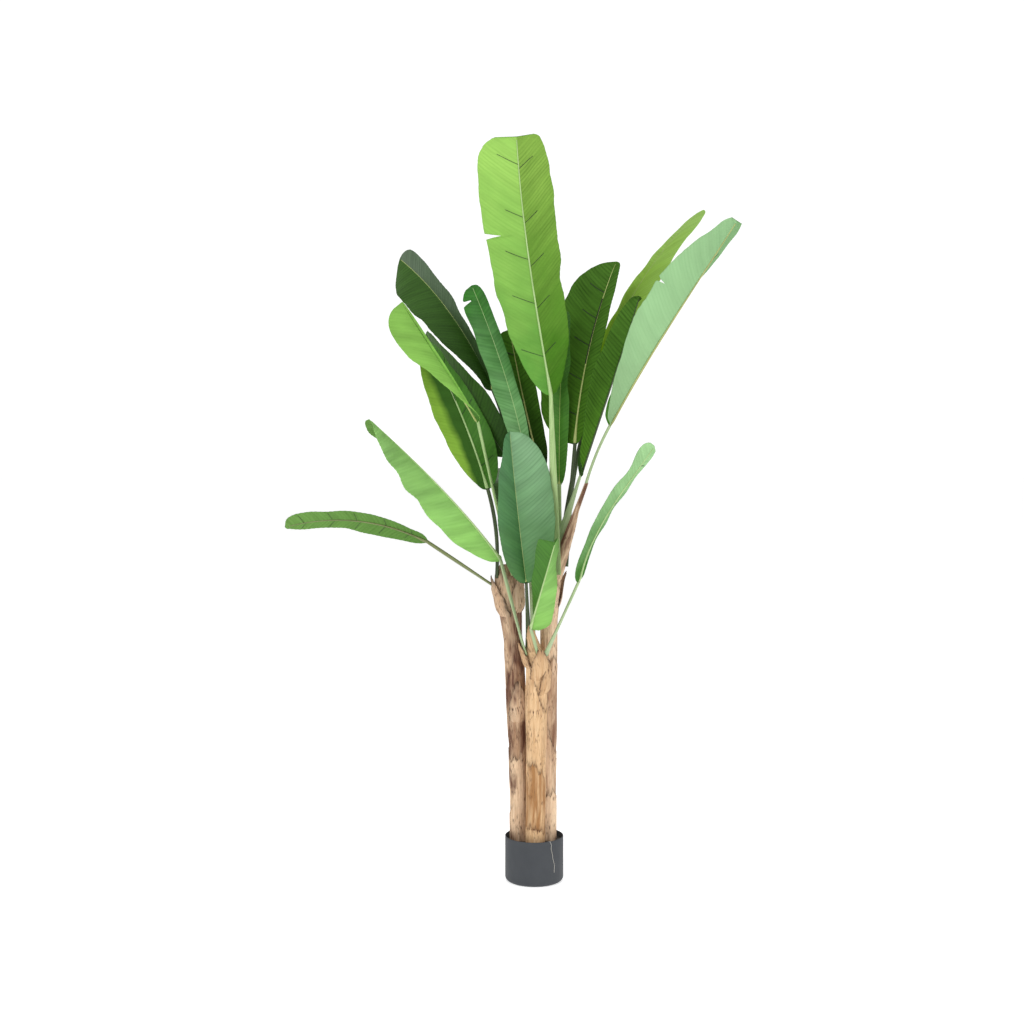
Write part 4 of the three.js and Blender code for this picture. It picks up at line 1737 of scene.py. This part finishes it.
@dataclass(frozen=True)
class Pot:
    """The round plastic pot, the cement in it and the fibre over its rim.

    Attributes:
        radius: the pot's outer radius.
        height: its height.
        wall: the wall's thickness.
        floor: the floor's thickness.
        foot_round: the radius of its rounded foot.
        fill_top: the height of the cement.
        clearance: the room between the cement and the pot.
        axis_gap: how near to the axis its outlines start and end.
        sides: points round it.
        arc_steps: points along the rounded foot and rim.
        cement_rings: rings of points over the cement's top.
        cement_rough: how far these stand up or down.
        grit_per_square_metre: how close the grit lies.
        grit_size: a lump's mean radius.
        grit_seed: chooses where the lumps lie.
        fibre_path: points along the fibre: way round the pot in degrees, height, and way off the wall.
        fibre_radius: the fibre's radius.
    """

    radius: float = 82.5
    height: float = 128.0
    wall: float = 2.5
    floor: float = 4.0
    foot_round: float = 12.0
    fill_top: float = 113.0
    clearance: float = 0.3
    axis_gap: float = 0.5
    sides: int = 128
    arc_steps: int = 9
    cement_rings: int = 40
    cement_rough: float = 2.0
    grit_per_square_metre: float = 26000.0
    grit_size: float = 1.6
    grit_seed: int = 4
    fibre_path: tuple[Triple, ...] = (
        (294, 121, -14), (299, 127, -4), (302, 129, 0.2), (304, 116, 0.6),
        (305, 96, 0.6), (311, 66, 0.6), (312, 38, 0.6),
    )
    fibre_radius: float = 0.45

    def turned(self, name: str, profile: list[Pair], finish: Enum, rough: float = 0.0) -> bpy.types.Object:
        """Turns an outline of (radius, height) points round the pot's axis.

        Args:
            name: the object's name.
            profile: the outline, from the middle of the underside outwards and up, and back to the axis.
            finish: its finish.
            rough: how far the points at the cement's height stand up or down.

        Returns:
            The turned piece.
        """
        angle = np.linspace(0, 2 * math.pi, self.sides + 1)
        radius, height = np.array(profile).T[:, :, None]
        place = np.broadcast_to(angle[None, :-1], (len(profile), self.sides))
        uneven = rough * noise(radius * np.cos(place) / 9, radius * np.sin(place) / 9, 5)
        level = height + uneven * (height > self.fill_top - 0.5)
        rings = np.stack([radius * np.cos(place), radius * np.sin(place), level], axis=-1)
        layout = np.stack(np.broadcast_arrays(angle[None, :] * radius, height), axis=-1) * MM
        row = np.zeros(len(profile), dtype=int)
        return tube_object(name, rings, layout, {}, [material_of(finish)], row)

    def shell(self) -> bpy.types.Object:
        """Makes the pot with its rounded foot and rim.

        Returns:
            The pot.
        """
        turn = np.radians(np.linspace(0, 90, self.arc_steps))
        inner = self.radius - self.foot_round
        foot = [(inner + self.foot_round * math.sin(a), self.foot_round * (1 - math.cos(a))) for a in turn]
        half = self.wall / 2
        middle = self.radius - half
        level = self.height - half
        rim = [(middle + half * math.cos(a), level + half * math.sin(a)) for a in 2 * turn]
        inside = [(self.radius - self.wall, self.foot_round), (inner, self.floor)]
        profile = [(self.axis_gap, 0.0), *foot, *rim, *inside, (self.axis_gap, self.floor)]
        return self.turned("pot_shell", profile, Plain.POT)

    def cement(self, tree: Tree) -> bpy.types.Object:
        """Makes the cement with grit on its uneven top.

        Args:
            tree: the grit tree.

        Returns:
            The cement.
        """
        side = self.radius - self.wall - self.clearance
        base = self.floor + self.clearance
        top = [(side * share, self.fill_top) for share in np.linspace(1, 0.02, self.cement_rings)]
        profile = [(self.axis_gap, base), (self.radius - self.foot_round - self.clearance, base)]
        profile += [(side, self.foot_round + self.clearance), *top]
        bare = self.turned("cement", profile, Plain.CEMENT, self.cement_rough)
        fill = bpy.data.objects.new("cement_and_grit", bare.data.copy())
        bpy.context.scene.collection.objects.link(fill)
        values = {
            "Density": self.grit_per_square_metre,
            "Size": self.grit_size * MM,
            "Seed": self.grit_seed,
            "Material": material_of(Plain.CEMENT),
        }
        tree.run(fill, values)
        bpy.data.objects.remove(bare)
        return fill

    def hanging_fibre(self, tree: Tree) -> bpy.types.Object:
        """Makes the loose fibre that hangs over the rim and down the pot's front.

        Args:
            tree: the strand tree.

        Returns:
            The fibre.
        """
        angle, height, away = np.array(self.fibre_path).T
        curve = np.linspace(0, len(angle) - 1, 40)
        angle, height, away = (np.interp(curve, np.arange(len(v)), v) for v in (angle, height, away))
        turn = np.radians(angle) + 0.012 * np.sin(curve * 5.0)
        reach = self.radius + away
        chain = np.stack([reach * np.cos(turn), reach * np.sin(turn), height], axis=-1)
        radii = np.full(len(curve), self.fibre_radius)
        return strands_object("hanging_fibre", [chain], [radii], tree, 5, Plain.THREAD)

    def build(self, grit: Tree, strands: Tree) -> None:
        """Builds the pot, its cement and the fibre over its rim, and sets them down.

        Args:
            grit: the grit tree.
            strands: the strand tree.
        """
        set_down(self.shell(), "pot", "pot")
        set_down(self.cement(grit), "fill", "pot_fill")
        set_down(self.hanging_fibre(strands), "stem")


# ---------------------------------------------------------------- studio


@dataclass(frozen=True)
class Studio:
    """A pale floor, soft light and the camera. Sizes are metres.

    Attributes:
        distance: how far in front of the plant's middle the camera is.
        eye_height: the camera's height.
        across: how far to the side it is.
        tilt: how far it looks down, in degrees.
        lens: its focal length, in millimetres.
        sensor: its sensor's width, in millimetres.
        floor_side: the floor's length and width.
        floor_tone: how light the floor is.
        floor_glow: how much light of its own it gives.
        sky: how strongly the backdrop lights the plant.
        sky_shown: how bright the backdrop looks.
        aim: the point that the lamps are turned to.
        lamps: name, place, side length and power of each lamp.
    """

    distance: float = 4.2
    eye_height: float = 1.3
    across: float = -0.063
    tilt: float = 3.49
    lens: float = 52.91
    sensor: float = 36.0
    floor_side: float = 60.0
    floor_tone: float = 0.94
    floor_glow: float = 0.5
    sky: float = 0.54
    sky_shown: float = 1.1
    aim: Triple = (0.0, 0.0, 1.1)
    lamps: tuple[tuple[str, Triple, float, float], ...] = (
        ("key", (-2.2, -3.2, 3.6), 2.4, 80.0),
        ("fill", (2.8, -2.6, 2.0), 2.6, 46.0),
        ("back", (0.6, 3.0, 3.2), 2.6, 40.0),
    )

    def floor(self) -> None:
        """Lays a wide pale floor under the pot."""
        half = self.floor_side / 2
        corners = [(-half, -half, 0), (half, -half, 0), (half, half, 0), (-half, half, 0)]
        mesh = bpy.data.meshes.new("floor")
        mesh.from_pydata(corners, [], [(0, 1, 2, 3)])
        tone = (self.floor_tone, self.floor_tone, self.floor_tone, 1.0)
        glow = {"Emission_Color": (1.0, 1.0, 1.0, 1.0), "Emission_Strength": self.floor_glow}
        mesh.materials.append(Nodes("pale_floor").surface(tone, 0.9, **glow))
        floor = bpy.data.objects.new("floor", mesh)
        bpy.context.scene.collection.objects.link(floor)

    def backdrop(self) -> None:
        """Fills the world with white that lights the plant less than it shows."""
        world = bpy.data.worlds.new("studio")
        bpy.context.scene.world = world
        world.use_nodes = True
        tree = world.node_tree
        tree.nodes.clear()
        path = tree.nodes.new("ShaderNodeLightPath")
        shown = tree.nodes.new("ShaderNodeMapRange")
        shown.inputs["To Min"].default_value = self.sky
        shown.inputs["To Max"].default_value = self.sky_shown
        tree.links.new(path.outputs["Is Camera Ray"], shown.inputs["Value"])
        glow = tree.nodes.new("ShaderNodeBackground")
        glow.inputs["Color"].default_value = (1.0, 1.0, 1.0, 1.0)
        tree.links.new(shown.outputs["Result"], glow.inputs["Strength"])
        output = tree.nodes.new("ShaderNodeOutputWorld")
        tree.links.new(glow.outputs[0], output.inputs["Surface"])

    def light(self) -> None:
        """Hangs the soft lamps, each turned to the plant's middle."""
        for name, place, side, power in self.lamps:
            data = bpy.data.lights.new(name, "AREA")
            data.size = side
            data.energy = power
            lamp = bpy.data.objects.new(name, data)
            lamp.location = place
            away = np.array(place) - np.array(self.aim)
            level = math.hypot(away[0], away[1])
            lamp.rotation_euler = (math.atan2(level, away[2]), 0.0, math.atan2(away[0], -away[1]))
            bpy.context.scene.collection.objects.link(lamp)

    def camera(self) -> None:
        """Sets the camera up in front of the plant."""
        data = bpy.data.cameras.new("camera")
        data.lens = self.lens
        data.sensor_width = self.sensor
        camera = bpy.data.objects.new("camera", data)
        camera.location = (self.across, -self.distance, self.eye_height)
        camera.rotation_euler = (math.radians(90.0 - self.tilt), 0.0, 0.0)
        bpy.context.scene.collection.objects.link(camera)
        bpy.context.scene.camera = camera

    def build(self) -> None:
        """Sets the whole studio up."""
        bpy.context.scene.view_settings.view_transform = "Standard"
        self.camera()
        self.floor()
        self.backdrop()
        self.light()


# ---------------------------------------------------------------- the plant

STEMS = (
    Stem(
        "left",
        rings=(
            (20, -40, 12, 27), (370, -47, 12, 26), (500, -52, 11, 28.5), (600, -55.5, 11, 28.5),
            (680, -60, 10, 27), (770, -68, 10, 33), (825, -74, 10, 39), (865, -78, 10, 33),
            (895, -80, 10, 17),
        ),
        sheaths=(
            Sheath(285, 60, 440, 575, 4), Sheath(195, 75, 740, 868, 4),
            Sheath(330, 60, 750, 885, 3), Sheath(80, 70, 745, 880, 4),
        ),
        wraps=(
            Wrap(178, 30, 250, 150, 0.2), Wrap(400, 60, 60, 210, 0.0),
            Wrap(560, 75, 310, 200, 0.6), Wrap(700, 45, 140, 60, 0.3),
        ),
        brown_patches=(
            # The first two patches lie on the side towards the front stem: brown, and painted shade between
            # the stems.
            BrownPatch(690, 322, 150, 80, 2.0), BrownPatch(330, 350, 330, 42, 0.9), BrownPatch(455, 225, 50, 40, 0.6),
            BrownPatch(110, 240, 22, 60, 0.8), BrownPatch(600, 120, 120, 60, 0.8),
        ),
        fibre=Fibre.LEFT,
        seed=11,
        browned=(640, 760),
    ),
    Stem(
        "front",
        rings=(
            (20, 1, -34, 27), (370, 4, -34, 28), (540, 5, -34, 32.5), (605, 8, -34, 32),
            (650, 0, -34, 27), (700, -10, -34, 15), (720, -12, -34, 9),
        ),
        sheaths=(
            Sheath(200, 45, 600, 690, 5), Sheath(330, 50, 530, 640, 3), Sheath(262, 22, 650, 738, 1),
            Sheath(292, 58, 572, 674, 9),
        ),
        wraps=(Wrap(150, 8, 200, 270, 0.3), Wrap(300, 36, 230, 260, 1.0), Wrap(560, 80, 170, 300, 0.1)),
        brown_patches=(BrownPatch(505, 300, 26, 26, 0.5), BrownPatch(430, 318, 60, 20, 0.4)),
        fibre=Fibre.FRONT,
        seed=12,
    ),
    Stem(
        "right",
        rings=(
            (20, 37, 14, 26), (370, 39, 14, 25), (740, 41, 13, 24), (850, 54, 10, 22),
            (920, 76, 2, 19), (994, 100, -8, 13), (1045, 115, -15, 7), (1126, 143, -26, 4.4),
        ),
        sheaths=(Sheath(190, 60, 740, 880, 3), Sheath(20, 55, 760, 880, 1)),
        wraps=(
            Wrap(200, 45, 300, 300, 0.1), Wrap(400, 60, 200, 330, 0.3),
            Wrap(575, 55, 320, 290, 0.5), Wrap(800, 50, 250, 300, 0.0),
        ),
        brown_patches=(
            BrownPatch(470, 330, 90, 42, 0.9), BrownPatch(900, 235, 80, 40, 1.2),
            BrownPatch(1000, 215, 90, 55, 1.4), BrownPatch(1100, 300, 50, 110, 1.5),
        ),
        fibre=Fibre.RIGHT,
        seed=13,
        browned=(600, 1400),
    ),
)

LEAVES = (
    Leaf(
        "top", "right", height=870, round=270, stalk=500, blade=712,
        halves=(102, 117), turn=(232, 233, 263), lift=(87, 73, 62),
        roll=(0, 50, 16), fold=(25, 25), shoulder=0.3, nose=0.3,
        base=34, other_shoulder=0.8, blunt=4, straight=True, tears=(Tear(-1, 0.635, 50, 16),), seed=100,
        dress=Dress("leaf_pale", Cloth.GRASS, Cloth.LIME_SHADED, under_other=Cloth.LIME, wires=(-1, 1)),
    ),
    Leaf(
        "back_left", "left", height=870, round=100, stalk=530, blade=572,
        halves=(84, 50), turn=(185, 146, 127), lift=(108, 63, 27),
        roll=(0, -65, -85), fold=(60, 0), shoulder=0.75, nose=0.15,
        seed=120,
        dress=Dress(
            "leaf_dark", Cloth.FOREST, Cloth.GRASS, upper_other=Cloth.FOREST_SHEEN,
            rib=Skin.YELLOW, stalk=Skin.DARK,
        ),
    ),
    Leaf(
        "left_folded", "left", height=868, round=300, stalk=440, blade=385,
        halves=(94, 8), turn=(207, 205, 180), lift=(76, 56, 58),
        roll=(0, -53, -95), fold=(50, 26), shoulder=0.48, nose=0.39,
        straight=True, seed=140,
        dress=Dress("leaf_pale", Cloth.SPRING, Cloth.GRASS, rib=Skin.YELLOW),
    ),
    Leaf(
        "left_inner", "left", height=860, round=215, stalk=250, blade=455,
        halves=(66, 70), turn=(205, 178, 225), lift=(95, 74, 58),
        roll=(0, 70, 105), fold=(20, 25), shoulder=0.37, nose=0.5,
        seed=160,
        dress=Dress(
            "leaf_mid", Cloth.MOSS, Cloth.GRASS, under_other=Cloth.GLOWING, stalk=Skin.DARK,
            rib_wire=(0.58, 0.8), wires=(1,),
        ),
    ),
    Leaf(
        "left_rear", "left", height=865, round=45, stalk=350, blade=425,
        halves=(62, 62), turn=(158, 180, 142), lift=(114, 57, 53),
        roll=(0, -85, -120), fold=(5, 20), shoulder=0.45, nose=0.42,
        seed=180,
        dress=Dress("leaf_dark", Cloth.FOREST, Cloth.GRASS, rib=Skin.DARK, stalk=Skin.DARK),
    ),
    Leaf(
        "middle_left", "right", height=885, round=184, stalk=285, blade=545,
        halves=(45, 25), turn=(210, 174, 145), lift=(74, 80, 63),
        roll=(0, -55, -75), fold=(15, 0), shoulder=0.35, nose=0.1,
        tears=(Tear(1, 0.93, 34, 14),), seed=200,
        dress=Dress("leaf_mid", Cloth.JADE_HIGHLIT, Cloth.MOSS, stalk=Skin.DARK),
    ),
    Leaf(
        "middle_rear", "right", height=872, round=138, stalk=278, blade=430,
        halves=(62, 44), turn=(105, 138, 141), lift=(93, 71, 77),
        roll=(0, -45, -45), fold=(15, 15), shoulder=0.45, nose=0.35,
        wire_radius=1.0, seed=220,
        dress=Dress(
            "leaf_dark", Cloth.GRASS, Cloth.DEEP_SHADED, rib=Skin.TAN, stalk=Skin.DARK, flipped=True, wires=(1,),
        ),
    ),
    Leaf(
        "rear_narrow", "right", height=930, round=104, stalk=190, blade=495,
        halves=(24, 32), turn=(104, 80, 62), lift=(70, 92, 77),
        roll=(0, -20, -10), fold=(15, 15), shoulder=0.27, nose=0.35,
        seed=240,
        dress=Dress("leaf_mid", Cloth.GRASS, Cloth.MOSS, rib=Skin.YELLOW),
    ),
    Leaf(
        "middle_right", "right", height=890, round=5, stalk=345, blade=550,
        halves=(122, 46), turn=(62, 47, 38), lift=(82, 83, 62),
        roll=(0, 14, 8), fold=(10, 10), shoulder=0.28, nose=0.35,
        wire_every=92.0, wire_radius=1.1, seed=260,
        dress=Dress(
            "leaf_dark", Cloth.FOREST, Cloth.OLIVE,
            rib=Skin.YELLOW, stalk=Skin.DARK, flipped=True, rib_wire=(0.42, 0.78), wires=(1,),
        ),
    ),
    Leaf(
        "back_right", "right", height=905, round=75, stalk=480, blade=700,
        halves=(90, 88), turn=(68, 27, 39), lift=(75, 73, 35),
        roll=(0, 0, -15), fold=(-10, -5), shoulder=0.52, nose=0.45,
        base=26, pleat=0.1, ripple=3.0, seed=280,
        dress=Dress("leaf_pale", Cloth.BACKLIT, Cloth.SEA, rib=Skin.TAN, stalk=Skin.DARK),
    ),
    Leaf(
        "right_folded", "right", height=915, round=168, stalk=238, blade=528,
        halves=(44, 62), turn=(6, 12, -27), lift=(72, 71, 72),
        roll=(90, 12, -38), fold=(43, 62), shoulder=0.57, nose=0.6,
        base=34, straight=True, seed=300,
        dress=Dress("leaf_dark", Cloth.FOREST, Cloth.OLIVE, rib=Skin.DARK, stalk=Skin.GREY, wires=(1,)),
    ),
    Leaf(
        "right_top", "right", height=1126, round=0, stalk=170, blade=655,
        halves=(90, 102), turn=(335, 359, 315), lift=(73, 62, 50),
        roll=(0, 15, -55), fold=(40, 64), shoulder=0.65, nose=0.49,
        base=11, on_tip=True, tears=(Tear(-1, 0.62, 28, 10),), wire_radius=0.45, pleat=0.2, seed=320,
        dress=Dress(
            "leaf_pale", Cloth.GRASS, Cloth.SAGE, under_other=Cloth.SEA,
            rib=Skin.TAN, stalk=Skin.GREY, wires=(1,),
        ),
    ),
    Leaf(
        "low_right", "front", height=645, round=345, stalk=242, blade=440,
        halves=(38, 40), turn=(326, 290, 388), lift=(63, 64, 51),
        roll=(0, 45, -60), fold=(5, 10), shoulder=0.13, nose=0.1,
        base=30, straight=True, pleat=0.2, seed=340,
        dress=Dress("leaf_pale", Cloth.GRASS, Cloth.FADED, stalk=Skin.GREY, wires=(1,)),
    ),
    Leaf(
        "low_front", "front", height=672, round=240, stalk=181, blade=420,
        halves=(80, 108), turn=(250, 144, 170), lift=(83, 81, 85),
        roll=(0, -50, -30), fold=(26, 23), shoulder=0.46, nose=0.5,
        base=18, straight=True, seed=360,
        dress=Dress(
            "leaf_mid", Cloth.TEAL, Cloth.MOSS, upper_other=Cloth.MIST, rib=Skin.YELLOW, stalk=Skin.DARK,
        ),
    ),
    Leaf(
        "low_left", "front", height=650, round=205, stalk=274, blade=555,
        halves=(86, 60), turn=(195, 186, 226), lift=(75, 54, 35),
        roll=(0, -50, -20), fold=(-50, -26), shoulder=0.54, nose=0.33,
        base=34, straight=True, pleat=0.6, seed=380,
        dress=Dress("leaf_pale", Cloth.MOSS, Cloth.APPLE, stalk=Skin.GREY, flipped=True),
    ),
    Leaf(
        "far_left", "left", height=835, round=180, stalk=225, blade=405,
        halves=(42, 44), turn=(184, 184, 192), lift=(34, 28, -15),
        roll=(0, 50, 35), fold=(-14, 10), shoulder=0.5, nose=0.14,
        base=26, straight=True, wire_every=78.0, wire_radius=0.5, seed=400,
        dress=Dress("leaf_mid", Cloth.GRASS, Cloth.MOSS, rib=Skin.OLIVE, stalk=Skin.OLIVE, wires=(-1, 1)),
    ),
    Leaf(
        "low_small", "front", height=645, round=290, stalk=94, blade=262,
        halves=(50, 48), turn=(239, 312, 312), lift=(63, 69, 68),
        roll=(-60, -92, -2), fold=(45, 45), shoulder=0.14, nose=0.06,
        blunt=4, straight=True, seed=420,
        dress=Dress("leaf_pale", Cloth.GRASS, Cloth.APPLE, under_other=Cloth.GRASS, stalk=Skin.GREY),
    ),
    Leaf(
        "low_back", "front", height=680, round=85, stalk=230, blade=400,
        halves=(72, 72), turn=(95, 100, 110), lift=(85, 62, 20),
        roll=(0, 0, 0), fold=(15, 5), shoulder=0.35, nose=0.35,
        seed=440,
        dress=Dress("leaf_dark", Cloth.FOREST, Cloth.GRASS, rib=Skin.YELLOW, stalk=Skin.GREY),
    ),
)


def main() -> None:
    """Loads the frame, builds the studio, the pot, the stems and the leaves, and finishes."""
    logging.basicConfig(level=logging.INFO, format="%(name)s: %(message)s")
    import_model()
    Studio().build()
    strands = strand_tree()
    Pot().build(grit_tree(), strands)
    for stem in STEMS:
        stem.build(strands)
    by_name = {stem.name: stem for stem in STEMS}
    for leaf in LEAVES:
        leaf.build(by_name, strands)
    bpy.context.view_layer.update()


if __name__ == "__main__":
    main()
